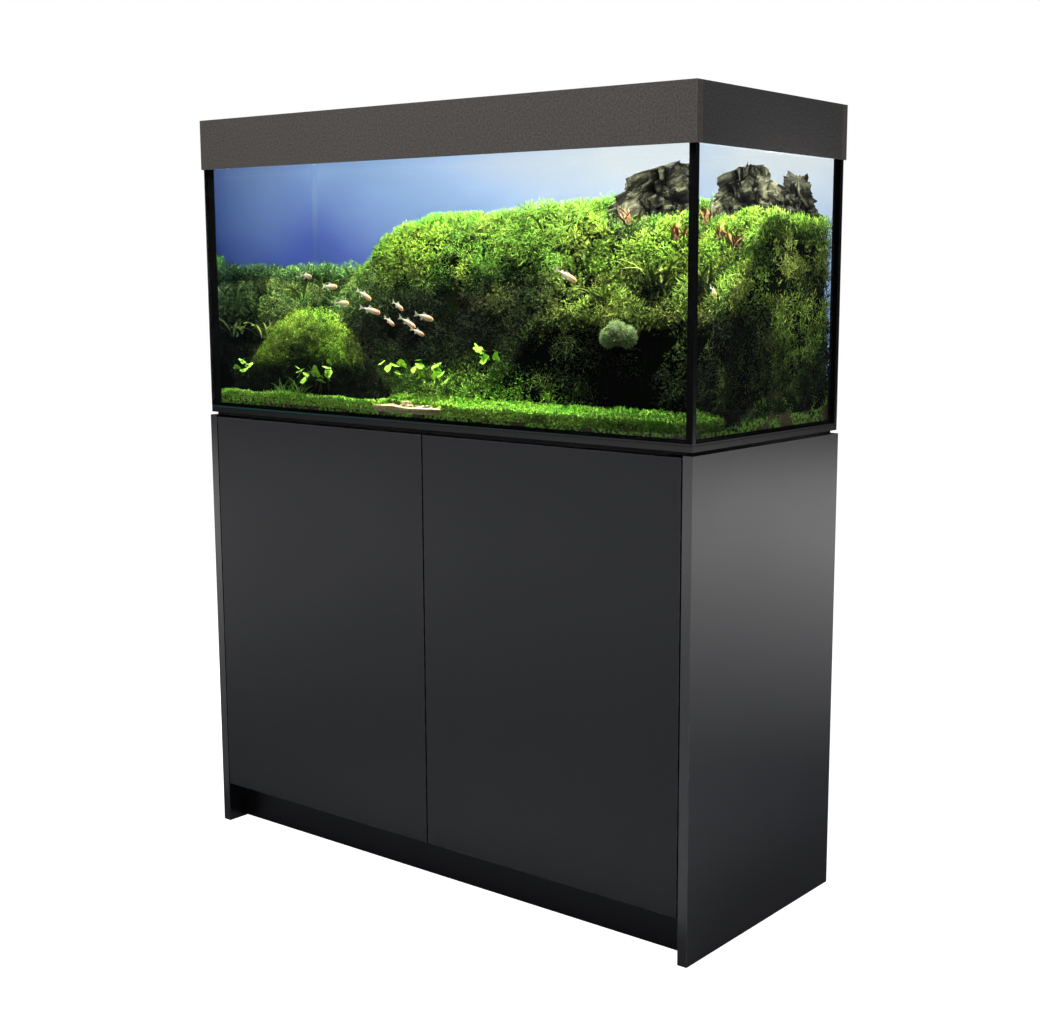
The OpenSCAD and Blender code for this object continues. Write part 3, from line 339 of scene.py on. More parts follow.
# Each finish has these values, then what else it needs, then the pieces that wear it.
finishKeys = ("color", "speckle", "cloud", "scale", "cloudScale", "roughness", "roughVary", "bump",
              "bumpDepth")
plainFinishes = {
    "hardboard": ((0.2, 0.12, 0.065), 0.7, 0.3, 500.0, 12.0, 0.7, 0.1, 0.3, 0.0004, {}, ["back_sheet"]),
    "zincPlate": ((0.55, 0.56, 0.57), 0.15, 0.2, 900.0, 60.0, 0.28, 0.15, 0.05, 0.0002, {"metallic": 1.0},
                  ["shelf_pins", "cam_fittings", "hinge_arms", "hinge_plates", "hinge_cups_left",
                   "hinge_cups_right", "strike_plate_left", "strike_plate_right", "flap_hinges_fixed",
                   "flap_hinge_left", "flap_hinge_right"]),
    "latchGrey": ((0.16, 0.16, 0.165), 0.2, 0.1, 1200.0, 30.0, 0.5, 0.1, 0.15, 0.0003, {}, ["latch_bodies"]),
    "latchWhite": ((0.72, 0.72, 0.7), 0.08, 0.05, 1200.0, 30.0, 0.4, 0.1, 0.05, 0.0002, {},
                   ["latch_plunger_left", "latch_plunger_right", "impeller"]),
    "foamMat": ((0.012, 0.012, 0.013), 0.9, 0.2, 800.0, 20.0, 0.85, 0.1, 0.6, 0.0008, {}, ["base_mat"]),
    "gearBlack": ((0.018, 0.018, 0.02), 0.3, 0.2, 1100.0, 25.0, 0.45, 0.1, 0.2, 0.0003, {},
                  ["filter_case", "pump_head", "outlet_nozzle"]),
    "filterFoam": ((0.03, 0.08, 0.28), 1.0, 0.2, 600.0, 25.0, 0.9, 0.05, 0.8, 0.001, {}, ["filter_sponge"]),
    "cupRubber": ((0.03, 0.03, 0.03), 0.2, 0.1, 700.0, 40.0, 0.55, 0.1, 0.1, 0.0003, {}, ["suction_cups"]),
    "heaterTube": ((0.1, 0.105, 0.11), 0.1, 0.4, 900.0, 60.0, 0.12, 0.05, 0.02, 0.0002, {}, ["heater"]),
    "dialRed": ((0.5, 0.07, 0.025), 0.1, 0.1, 900.0, 60.0, 0.35, 0.1, 0.05, 0.0002, {}, ["heater_dial"]),
    "pineBatten": ((0.42, 0.27, 0.13), 0.3, 0.6, 300.0, 14.0, 0.6, 0.1, 0.25, 0.0005, {}, ["hood_battens"]),
    "lightAluminium": ((0.7, 0.71, 0.72), 0.15, 0.1, 1500.0, 30.0, 0.35, 0.1, 0.08, 0.0002,
                       {"metallic": 1.0}, ["light_housing"]),
    "ledBoard": ((0.85, 0.86, 0.84), 0.1, 0.1, 900.0, 30.0, 0.4, 0.1, 0.05, 0.0002, {}, ["led_board"]),
    "lightLens": ((0.86, 0.91, 0.95), 0.05, 0.05, 900.0, 12.0, 0.3, 0.1, 0.05, 0.0002, {"emission": 1.0},
                  ["light_lens"]),
}
for finish, (*values, more, names) in plainFinishes.items():
    dress(grainMaterial(finish, {**dict(zip(finishKeys, values)), **more}), *names)
print("boards, fittings and gear dressed")

# ---- glass, silicone, water and the film behind the tank ----

soilLook = {
    "color": (0.045, 0.03, 0.02), "speckle": 1.4, "cloud": 0.4, "scale": 260.0, "cloudScale": 20.0,
    "roughness": 0.85, "roughVary": 0.1, "bump": 1.0, "bumpDepth": 0.002, "leaf": (0.17, 0.33, 0.045),
    "gap": (0.004, 0.007, 0.002), "leafScale": 210.0, "rim": (0.15, 0.75), "patchScale": 26.0,
    "growth": (0.42, 0.48),
}


def soilMaterial(look):
    # Grains of soil, overgrown by small leaves: each cell is a leaf, bright at its middle and dark at its rim, as
    # painted shade between the leaves.
    material, tree, shader = newMaterial("plantSoil", Specular_IOR_Level=0.05)
    grain = grainOf(tree, look)
    place = objectPlace(tree)
    rim = ranged(tree, signal(tree, "TexVoronoi", Vector=place, Scale=look["leafScale"]), *look["rim"])
    patches = signal(tree, "TexNoise", Vector=place, Scale=look["patchScale"], Detail=3.0)
    grown = ranged(tree, patches, *look["growth"])
    color = mixColors(tree, grown, grain["Color"], mixColors(tree, rim, look["leaf"], look["gap"]))
    setShader(tree, shader, Base_Color=color, Roughness=grain["Roughness"],
              Normal=bumped(tree, grain["Height"], look["bump"], look["bumpDepth"]))
    return material


dress(soilMaterial(soilLook), "substrate")

glassLook = {
    "clear": (0.975, 0.99, 0.985), "bondedEdge": (0.004, 0.004, 0.004), "groundEdge": (0.004, 0.055, 0.05),
    "edgeRoughness": 0.15, "glowHeight": 0.0028, "glowFade": (-0.45, 0.35), "ior": 1.12,
}


def paneMaterial(node, look, thin, bonded):
    # See-through on the two wide faces; thin is the axis across the pane. Edges in silicone are black and ground
    # edges green; a line of light along the foot of an upright pane is painted in the same green, fading to the
    # right.
    material, tree, edge = newMaterial("pane_" + node, Roughness=look["edgeRoughness"])
    facing = addNode(tree, "TexCoord").outputs["Normal"]
    along = addNode(tree, "VectorMath", facing, thin, operation="DOT_PRODUCT").outputs["Value"]
    wide = maths(tree, "GREATER_THAN", maths(tree, "ABSOLUTE", along), 0.5)
    upward = addNode(tree, "SeparateXYZ", facing).outputs[2]
    level = maths(tree, "GREATER_THAN", maths(tree, "ABSOLUTE", upward), 0.5)
    x, y, z = objectAxes(tree)
    low = maths(tree, "LESS_THAN", z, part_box(node)[0].z + (look["glowHeight"] if thin[2] == 0 else -1))
    lit = maths(tree, "MULTIPLY", low, ranged(tree, x, *look["glowFade"], 1.0, 0.0))
    green = maths(tree, "MAXIMUM", level, lit)
    setShader(tree, edge, Base_Color=mixColors(tree, green, look["bondedEdge" if bonded else "groundEdge"],
                                               look["groundEdge"]))
    # Light is not bent in the pane, so the far face has to mirror as little as the near one.
    behind = addNode(tree, "NewGeometry").outputs["Backfacing"]
    fresnel = signal(tree, "Fresnel", IOR=ranged(tree, behind, 0.0, 1.0, look["ior"], 1 / look["ior"]))
    pane = signal(tree, "MixShader", fresnel, signal(tree, "BsdfTransparent", look["clear"]),
                  signal(tree, "BsdfGlossy", Color=(1, 1, 1), Roughness=0.0))
    mix = signal(tree, "MixShader", maths(tree, "SUBTRACT", wide, low), edge.outputs[0], pane)
    feed(tree, tree.nodes["Material Output"].inputs[0], mix)
    return material


for side, thin in (("front", (0, 1, 0)), ("back", (0, 1, 0)), ("left", (1, 0, 0)), ("right", (1, 0, 0)),
                   ("bottom", (0, 0, 1)), ("braces", (0, 0, 1))):
    dress(paneMaterial("glass_" + side, glassLook, thin, side != "braces"), "glass_" + side)


def addMesh(name, points, faces, material, smooth=False, tint=None, core=None):
    # Whole arrays go in at once: points (n, 3) and faces (m, 3) or (m, 4); the object stays at the origin.
    # core is a second material with the number of the first face that has it.
    mesh = bpy.data.meshes.new(name)
    count, sides = faces.shape
    mesh.vertices.add(len(points))
    mesh.vertices.foreach_set("co", np.ascontiguousarray(points, dtype=np.float32).ravel())
    mesh.loops.add(count * sides)
    mesh.loops.foreach_set("vertex_index", np.ascontiguousarray(faces, dtype=np.int32).ravel())
    mesh.polygons.add(count)
    mesh.polygons.foreach_set("loop_start", np.arange(0, count * sides, sides, dtype=np.int32))
    mesh.polygons.foreach_set("use_smooth", np.full(count, smooth))
    mesh.update(calc_edges=True)
    if tint is not None:
        layer = mesh.color_attributes.new("tint", "FLOAT_COLOR", "POINT")
        layer.data.foreach_set("color", np.c_[tint, np.ones(len(tint))].astype(np.float32).ravel())
    mesh.materials.append(material)
    if core is not None:
        mesh.materials.append(core[0])
        mesh.polygons.foreach_set("material_index", (np.arange(count) >= core[1]).astype(np.int32))
    item = bpy.data.objects.new(name, mesh)
    bpy.context.collection.objects.link(item)
    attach(item, root)
    return item


seamLook = {
    "black": (0.006, 0.006, 0.006), "glowLow": (0.062, 0.108, 0.371), "glowHigh": (0.235, 0.381, 0.645),
    "glowEnds": (1.004, 1.15), "reach": 0.03, "above": 0.06, "roughness": 0.9, "smearScale": 300.0,
    "bump": 0.1, "bumpDepth": 0.0005,
}


def seamMaterial(look):
    # Black silicone; the seam that the film covers at the rear left is painted with a glow in the film's blue,
    # though it is no lamp.
    material, tree, shader = newMaterial("silicone", Specular_IOR_Level=0.02, Roughness=look["roughness"],
                                         Emission_Strength=1.0)
    x, y, z = objectAxes(tree)
    smear = signal(tree, "TexNoise", Vector=objectPlace(tree), Scale=look["smearScale"], Detail=2.0)
    left = maths(tree, "LESS_THAN", x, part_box("glass_left")[1].x + look["reach"])
    rear = maths(tree, "GREATER_THAN", y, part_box("glass_back")[0].y - look["reach"])
    above = maths(tree, "GREATER_THAN", z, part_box("glass_bottom")[1].z + look["above"])
    share = maths(tree, "MULTIPLY", maths(tree, "MULTIPLY", left, rear), above)
    climb = ranged(tree, z, *look["glowEnds"], interpolation_type="SMOOTHSTEP")
    glow = mixColors(tree, climb, look["glowLow"], look["glowHigh"])
    setShader(tree, shader, Base_Color=mixColors(tree, share, look["black"], (0, 0, 0)),
              Emission_Color=mixColors(tree, share, (0, 0, 0), glow),
              Normal=bumped(tree, smear, look["bump"], look["bumpDepth"]))
    return material


dress(seamMaterial(seamLook), "silicone_seams")

waterLook = {
    "belowBraces": 0.003, "gap": 0.00015, "skin": 0.0005, "ior": 1.333, "totalFrom": 0.98,
    "leftMirror": (0.13, 0.16, 0.31), "cornerMirror": (0.92, 0.94, 1.0),
}


def makeWater(look):
    # A closed box that stops a hair short of the glass, so that it bends light once on each side.
    gap = look["gap"]
    low = np.array([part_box("glass_left")[1].x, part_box("glass_front")[1].y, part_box("glass_bottom")[1].z]) + gap
    high = np.array([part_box("glass_right")[0].x - gap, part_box("glass_back")[0].y - gap,
                     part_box("glass_braces")[0].z - look["belowBraces"]])
    corners = np.array([[x, y, z] for x in (0, 1) for y in (0, 1) for z in (0, 1)])
    faces = np.array([[0, 1, 3, 2], [4, 6, 7, 5], [0, 4, 5, 1], [2, 3, 7, 6], [0, 2, 6, 4], [1, 5, 7, 3]])
    material, tree, shader = newMaterial("water", Base_Color=(1, 1, 1), Roughness=0.0, IOR=look["ior"],
                                         Transmission_Weight=1.0)
    path = addNode(tree, "LightPath").outputs
    x, y, z = objectAxes(tree)
    # The film is stuck to the back pane without air, so the water does not mirror there.
    filmSide = maths(tree, "GREATER_THAN", y, high[1] - look["skin"])
    lampRay = maths(tree, "MAXIMUM", path["Is Shadow Ray"], path["Is Diffuse Ray"])
    # From inside, at a low angle, the left wall mirrors everything; the mirror image is tinted with painted shade
    # that dulls it and turns it blue towards the front.
    color = mixColors(tree, ranged(tree, y, high[1], low[1]), look["cornerMirror"], look["leftMirror"])
    dull = signal(tree, "BsdfGlossy", Color=color, Roughness=0.0)
    total = maths(tree, "GREATER_THAN", signal(tree, "Fresnel", IOR=look["ior"]), look["totalFrom"])
    leftWall = maths(tree, "LESS_THAN", x, low[0] + look["skin"])
    share = maths(tree, "MULTIPLY", maths(tree, "MULTIPLY", leftWall, total),
                  addNode(tree, "NewGeometry").outputs["Backfacing"])
    walls = signal(tree, "MixShader", share, shader.outputs[0], dull)
    mix = signal(tree, "MixShader", maths(tree, "MAXIMUM", lampRay, filmSide), walls,
                 signal(tree, "BsdfTransparent"))
    feed(tree, tree.nodes["Material Output"].inputs[0], mix)
    addMesh("tankWater", low + corners * (high - low), faces, material)
    return low, high


waterLow, waterHigh = makeWater(waterLook)

filmLook = {
    "deep": (0.03, 0.052, 0.19), "blue": (0.096, 0.153, 0.507), "mist": (0.315, 0.477, 0.795),
    "sky": (0.495, 0.671, 0.99), "pale": (0.885, 0.94, 1.0), "glow": 0.9, "diffuse": 0.015,
    "spots": {"deep": 0.02, "pale": 1.0, "blue": 0.25, "mist": 0.55, "sky": 0.72}, "cloudScale": 2.6,
    "cloudTurn": 0.35, "cloudFlat": 2.6, "acrossTo": 0.68, "across": (0.26, 0.76), "upFrom": 0.4,
    "up": (-0.3, 0.31), "cloudy": (-0.07, 0.07),
}


def filmMaterial(look):
    # Blue deepens towards the lower left; soft pale cloud spreads along the middle and to the right.
    material, tree, shader = newMaterial("backFilm", Specular_IOR_Level=0.0, Roughness=0.9)
    low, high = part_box("background_film")
    x, y, z = objectAxes(tree)
    stretch = signal(tree, "Mapping", Vector=objectPlace(tree), Rotation=(0, look["cloudTurn"], 0),
                     Scale=(1.0, 1.0, look["cloudFlat"]))
    clouds = signal(tree, "TexNoise", Vector=stretch, Scale=look["cloudScale"], Detail=4.0, Roughness=0.45,
                    Distortion=0.4)
    right = ranged(tree, x, low.x, low.x + look["acrossTo"] * (high.x - low.x), *look["across"])
    up = ranged(tree, z, low.z + look["upFrom"] * (high.z - low.z), high.z, *look["up"])
    cloudy = ranged(tree, clouds, *noiseEnds, *look["cloudy"])
    ramp = addNode(tree, "ValToRGB", maths(tree, "ADD", maths(tree, "ADD", right, up), cloudy))
    stops = ramp.color_ramp.elements
    for index, (name, spot) in enumerate(look["spots"].items()):
        stop = stops.new(spot) if index > 1 else stops[index]
        stop.position, stop.color = spot, (*look[name], 1.0)
    setShader(tree, shader, Emission_Color=ramp.outputs[0], Emission_Strength=look["glow"],
              Base_Color=mixColors(tree, 1 - look["diffuse"], ramp.outputs[0], (0, 0, 0)))
    return material


dress(filmMaterial(filmLook), "background_film")
print("glass, water and film made")

# ---- noise and closed surfaces that several pieces share ----


def lattice(points, seed):
    # Smooth value noise from a sine hash at the corners of a unit lattice; the result is in -1..1.
    base = np.floor(points)
    part = points - base
    ease = part * part * (3 - 2 * part)
    total = np.zeros(points.shape[:-1])
    for corner in ((0, 0, 0), (1, 0, 0), (0, 1, 0), (1, 1, 0), (0, 0, 1), (1, 0, 1), (0, 1, 1), (1, 1, 1)):
        value = np.sin((base + corner) @ np.array([127.1, 311.7, 74.7]) + seed * 13.7) * 43758.5453
        weight = np.where(np.array(corner) == 1, ease, 1 - ease).prod(-1)
        total += weight * (value - np.floor(value))
    return total * 2 - 1


def layeredNoise(points, seed, layers=4):
    # Each layer is half as large and twice as fine as the one before.
    return sum(lattice(points * 2.0 ** layer, seed + layer) * 0.5 ** layer for layer in range(layers))


def smoothRise(value, low, high):
    share = np.clip((value - low) / (high - low), 0, 1)
    return share * share * (3 - 2 * share)


def unit(vectors):
    return vectors / np.maximum(np.linalg.norm(vectors, axis=-1, keepdims=True), 1e-9)


def nearness(points, middle, size, power):
    # One at the middle of an ellipsoid, nothing well outside it.
    return np.exp(-(((points - middle) / size) ** 2).sum(-1) ** power)


def closedRings(rings, around):
    # Faces between rings of points in a row, and from the end rings to the two poles listed after them.
    index = np.arange(around)
    after = (index + 1) % around
    step = (np.arange(rings - 1) * around)[:, None]
    a, b = (step + index).ravel(), (step + after).ravel()
    last, pole = (rings - 1) * around, np.full(around, rings * around)
    return np.vstack([np.stack([a, a + around, b + around], 1), np.stack([a, b + around, b], 1),
                      np.stack([pole, index, after], 1), np.stack([pole + 1, last + after, last + index], 1)])


def nodeTriangles(name):
    mesh = nodes[name].data
    mesh.calc_loop_triangles()
    points = np.empty(len(mesh.vertices) * 3)
    mesh.vertices.foreach_get("co", points)
    index = np.empty(len(mesh.loop_triangles) * 3, dtype=np.int64)
    mesh.loop_triangles.foreach_get("vertices", index)
    return points.reshape(-1, 3)[index.reshape(-1, 3)]


def nodeMesh(name):
    # Each corner point of a node once, and its triangles.
    places, index = np.unique(np.round(nodeTriangles(name).reshape(-1, 3), 6), axis=0, return_inverse=True)
    return places, index.reshape(-1, 3)


def splitSolids(name):
    # Corner points of a node's separate solids: triangles that share a corner take its lowest label.
    places, faces = nodeMesh(name)
    label = np.arange(len(places))
    before = None
    while before is None or (label != before).any():
        before = label.copy()
        np.minimum.at(label, faces.ravel(), np.repeat(label[faces].min(1), 3))
    return [places[label == mark] for mark in np.unique(label)]


def joinParts(parts):
    points, faces, tints = zip(*parts)
    starts = np.cumsum([0] + [len(some) for some in points])
    faces = [some + start for some, start in zip(faces, starts)]
    return np.vstack(points), np.vstack(faces), np.vstack(tints)


def insideTank(points, margin=0.001):
    # Leaves and stones stay off the glass.
    return np.clip(points, waterLow + margin, waterHigh - margin)


def tintedMaterial(name, noise, span, **values):
    # The tint comes with each point, and noise mottles it between the two shares of span.
    material, tree, shader = newMaterial(name, **values)
    mottle = signal(tree, "TexNoise", Vector=objectPlace(tree), **noise)
    tint = signal(tree, "VertexColor", layer_name="tint")
    share = ranged(tree, mottle, *noiseEnds, *span)
    setShader(tree, shader, Base_Color=signal(tree, "VectorMath", tint, operation="SCALE", Scale=share))
    return material, tree, shader, mottle


# ---- rocks and stones ----

rockLook = {
    "rows": 96, "around": 220, "nearest": 32, "blocks": 110, "stretch": (1.0, 1.0, 0.42), "tilt": 0.45,
    "bend": (1.0, 1.0, 0.4), "bendScale": 30, "cleft": 0.008, "softness": 0.45, "step": 0.007, "slant": 0.2,
    "rough": 0.36, "roughScale": 130, "deepest": 0.6, "widen": 0.95, "widenFrom": 0.3, "crest": 0.05,
    "crestCurve": 1.3, "crestBroken": 0.14, "crestScale": (30, 30, 6), "light": (0.06, 0.06, 0.034),
    "dark": (0.001, 0.0011, 0.0008), "topShade": (1.03, 1.14, 0.34), "spreadFrom": (0.28, 0.03),
    "spread": (1.2, 1.32), "strata": 90.0, "seed": 21,
}
stoneLook = {
    **rockLook, "rows": 26, "around": 40, "nearest": 18, "blocks": 14, "stretch": (1.0, 1.0, 1.0),
    "tilt": 0.0, "cleft": 0.0016, "step": 0.002, "rough": 0.22, "widen": 0.0, "crest": 0.0,
    "light": (0.66, 0.58, 0.32), "dark": (0.2, 0.16, 0.07), "topShade": (2.0, 3.0, 1.0),
    "spreadFrom": (0.0, 0.0), "spread": (1.0, 1.0), "strata": 260.0, "seed": 22,
}


def outlineGrid(points, rows, around, nearest):
    # Rings at even heights follow the solid's own points nearest in height, angle by angle; both ends close.
    low, high = points[:, 2].min(), points[:, 2].max()
    heights = low + (high - low) * np.linspace(0, 1, rows)
    turns = np.linspace(-np.pi, np.pi, around, endpoint=False)
    centres = np.empty((rows, 2))
    reach = np.empty((rows, around))
    for row, z in enumerate(heights):
        near = points[np.argsort(np.abs(points[:, 2] - z), kind="stable")[:nearest], :2]
        centres[row] = near.mean(0)
        near = near - centres[row]
        angle, size = np.arctan2(near[:, 1], near[:, 0]), np.linalg.norm(near, axis=1)
        order = np.argsort(angle)
        reach[row] = np.interp(turns, angle[order], size[order], period=2 * np.pi)
    reach[[0, -1]] = 0.0
    flat = np.stack([centres[:, :1] + np.cos(turns) * reach, centres[:, 1:] + np.sin(turns) * reach,
                     np.repeat(heights[:, None], around, 1)], -1).reshape(-1, 3)
    here = np.arange(rows - 1)[:, None] * around + np.arange(around)
    after = np.arange(rows - 1)[:, None] * around + (np.arange(around) + 1) % around
    quads = np.stack([here, after, after + around, here + around], -1).reshape(-1, 4)
    return flat, np.vstack([quads[:, :3], quads[:, [0, 2, 3]]]), np.repeat(centres, around, 0)


def chiselled(outline, side, look, dice):
    # Blocks are the cells nearest to random seeds, measured along a tilted grain. Each block steps in by its
    # own amount and slant, and a cleft opens where two blocks are equally near; the tint is painted darker in
    # the clefts, as painted shade.
    points, faces, centres = outlineGrid(outline, look["rows"], look["around"], look["nearest"])
    low, high = outline.min(0), outline.max(0)
    blocks, cleft = look["blocks"], look["cleft"]
    cosine, sine = np.cos(look["tilt"]), np.sin(look["tilt"])
    turn = np.array([[cosine, 0, -sine], [0, 1, 0], [sine, 0, cosine]])
    grain = (points @ turn) * look["stretch"]
    grain = grain + layeredNoise(points * look["bendScale"], 4, 3)[:, None] * look["bend"] * cleft
    seeds = (dice.uniform(low, high, (blocks, 3)) @ turn) * look["stretch"]
    gap = np.linalg.norm(grain[:, None] - seeds[None], axis=-1)
    near, second = np.sort(np.partition(gap, 1, axis=1)[:, :2], axis=1).T
    block = gap.argmin(1)
    edge = np.exp(-(second - near) / (cleft * look["softness"]))
    slant = ((grain - seeds[block]) * dice.normal(0, look["slant"], (blocks, 3))[block]).sum(1)
    fine = layeredNoise(points * look["roughScale"], 9, 4)
    inward = look["step"] * dice.random(blocks)[block] + np.abs(slant) + edge * cleft \
        + (fine + 1) * cleft * look["rough"]
    climb = (points[:, 2] - low[2]) / (high[2] - low[2])
    wider = 1 + look["widen"] * smoothRise(climb, look["widenFrom"], 1.0)
    points[:, :2] = centres + (points[:, :2] - centres) * wider[:, None]
    points = np.clip(points, low, high)
    offset = points[:, :2] - centres
    length = np.linalg.norm(offset, axis=1)
    sunk = np.minimum(inward, length * look["deepest"])
    points[:, :2] -= offset * (sunk / np.maximum(length, 1e-9))[:, None]
    # The crest falls away to one side, in broken steps.
    flank = 0.5 + side * (points[:, 0] - (low[0] + high[0]) / 2) / (high[0] - low[0])
    fall = flank ** look["crestCurve"] + look["crestBroken"] * layeredNoise(points * look["crestScale"], 7, 3)
    drop = (fall - fall[climb > 0.9].min()) * look["crest"] + inward * 0.5 * (look["crest"] > 0)
    points[:, 2] -= climb ** 1.5 * drop
    # Tone is darker in the clefts, as painted shade, and varies with fine noise and at random from block to block.
    tone = 0.78 - edge * 1.1 + fine * 0.55 + dice.uniform(-0.25, 0.25, blocks)[block]
    tone = (np.clip(tone, 0, 1) ** 1.7)[:, None]
    # Painted shade: the rocks turn darker towards their tops, where the hood lamp is close.
    bottom, top, least = look["topShade"]
    shade = 1 - (1 - least) * smoothRise(points[:, 2:], bottom, top)
    return points, faces, ((1 - tone) * look["dark"] + tone * look["light"]) * shade


def makeRocks(name, node, look):
    dice = np.random.default_rng(look["seed"])
    solids = splitSolids(node)
    middle = np.vstack(solids)[:, 0].mean()
    points, faces, tints = joinParts([chiselled(outline, np.sign(outline[:, 0].mean() - middle), look, dice)
                                      for outline in solids])
    # The broken faces stand out past the plain solids, towards the right-hand rear corner.
    anchor = np.array(look["spreadFrom"])
    points[:, :2] = anchor + (points[:, :2] - anchor) * look["spread"]
    material, tree, shader, strata = tintedMaterial(
        name + "Face", {"Scale": look["strata"], "Detail": 8.0, "Roughness": 0.7}, (0.15, 1.9),
        Specular_IOR_Level=0.02, Roughness=0.9)
    setShader(tree, shader, Normal=bumped(tree, strata, 0.8, 0.003))
    rocks = addMesh(name, insideTank(points), faces, material, tint=tints)
    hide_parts(node)
    print(name, len(faces), "faces")


makeRocks("cragRocks", "rock_peaks", rockLook)
makeRocks("tanStones", "foreground_stones", stoneLook)
print("rocks and stones made")

# ---- plants ----


def scatterOn(name, count, dice, facing):
    # Random points on a solid's faces, shared out by area times how much facing(normal) wants that face.
    corners = nodeTriangles(name)
    cross = np.cross(corners[:, 1] - corners[:, 0], corners[:, 2] - corners[:, 0])
    area = np.linalg.norm(cross, axis=1)
    normal = cross / np.maximum(area, 1e-12)[:, None]
    share = area * facing(normal)
    pick = dice.choice(len(corners), count, p=share / share.sum())
    u, v = dice.random((2, count))
    flip = u + v > 1
    u, v = np.where(flip, 1 - u, u), np.where(flip, 1 - v, v)
    start, second, third = corners[pick].transpose(1, 0, 2)
    return start + u[:, None] * (second - start) + v[:, None] * (third - start), normal[pick]


def kites(base, direction, side, length, width, fold):
    # One leaf is a kite folded on its midrib: base, two shoulders lifted by the fold, and tip.
    lift = unit(np.cross(side, direction))
    tip = base + direction * length[..., None]
    middle = base + direction * (length * 0.45)[..., None] + lift * (width * fold)[..., None]
    half = side * (width / 2)[..., None]
    points = np.stack([base, middle + half, tip, middle - half], -2).reshape(-1, 3)
    first = np.arange(0, len(points), 4)[:, None]
    return points, np.vstack([first + [0, 1, 2], first + [0, 2, 3]])


fullTurn, goldenAngle = 6.283, 2.39996


def shootLeaves(roots, axes, height, leaf, look, dice):
    # Leaves spiral up each shoot by the golden angle, longest at the middle and steeper towards the tip.
    count, each = len(roots), look["leaves"]
    step = (np.arange(each) + dice.random((count, each))) / each
    turn = np.arange(each) * goldenAngle + dice.random((count, 1)) * fullTurn
    across = unit(np.cross(axes, np.where(np.abs(axes[:, 2:]) > 0.9, [1.0, 0, 0], [0, 0, 1.0])))
    deep = np.cross(axes, across)
    out = np.cos(turn)[..., None] * across[:, None] + np.sin(turn)[..., None] * deep[:, None]
    climb = leaf[:, 3:4] + (leaf[:, 4:5] - leaf[:, 3:4]) * step
    direction = unit(out * np.cos(climb)[..., None] + axes[:, None] * np.sin(climb)[..., None]
                     + dice.normal(0, look["scatter"], (count, each, 3)))
    rise = (height[:, None] * step)[..., None]
    start = roots[:, None] + axes[:, None] * rise + out * look["spread"] * dice.random((count, each, 1))
    profile = 0.55 + 0.45 * np.sin(np.pi * np.clip(step * 0.9 + 0.1, 0, 1))
    length = leaf[:, 1:2] * profile * dice.uniform(0.7, 1.25, (count, each))
    width = length * (leaf[:, 2:3] / leaf[:, 1:2])
    side = unit(np.cross(direction, axes[:, None] + dice.normal(0, 0.25, (count, each, 3))))
    points, faces = kites(start, direction, side, length, width, look["fold"])
    return points, faces, step


leafNoise = {"Scale": 220.0, "Detail": 2.0}
plantLeaf = tintedMaterial("plantLeaf", leafNoise, (0.65, 1.35), Specular_IOR_Level=0.02, Roughness=0.6)[0]
plantShade = tintedMaterial("plantShade", leafNoise, (0.65, 1.35), Specular_IOR_Level=0.0, Roughness=1.0)[0]
upwards = np.array([0.0, 0.0, 1.0])
tankMiddle = (waterLow + waterHigh) / 2


def shadowCore(node, drop):
    # The planting's own solid, sunk a little, closes the view between the leaves; its near-black tint is a painted
    # shadow.
    places, faces = nodeMesh(node)
    keep = (faces[:, 0] != faces[:, 1]) & (faces[:, 1] != faces[:, 2]) & (faces[:, 0] != faces[:, 2])
    inward = tankMiddle[:2] - places[:, :2]
    places[:, 2] = np.maximum(places[:, 2] - drop, places[:, 2].min())
    places[:, :2] += np.sign(inward) * np.minimum(np.abs(inward), drop * 0.3)
    return places, faces[keep]


def puffs(points, centres, radius):
    # Each clump is a dome over its centre: one at the centre, nothing at the radius.
    gap = np.linalg.norm(points[:, None] - centres[None], axis=-1)
    return np.sqrt(np.clip(1 - (gap.min(1) / radius) ** 2, 0, 1)), gap.argmin(1)
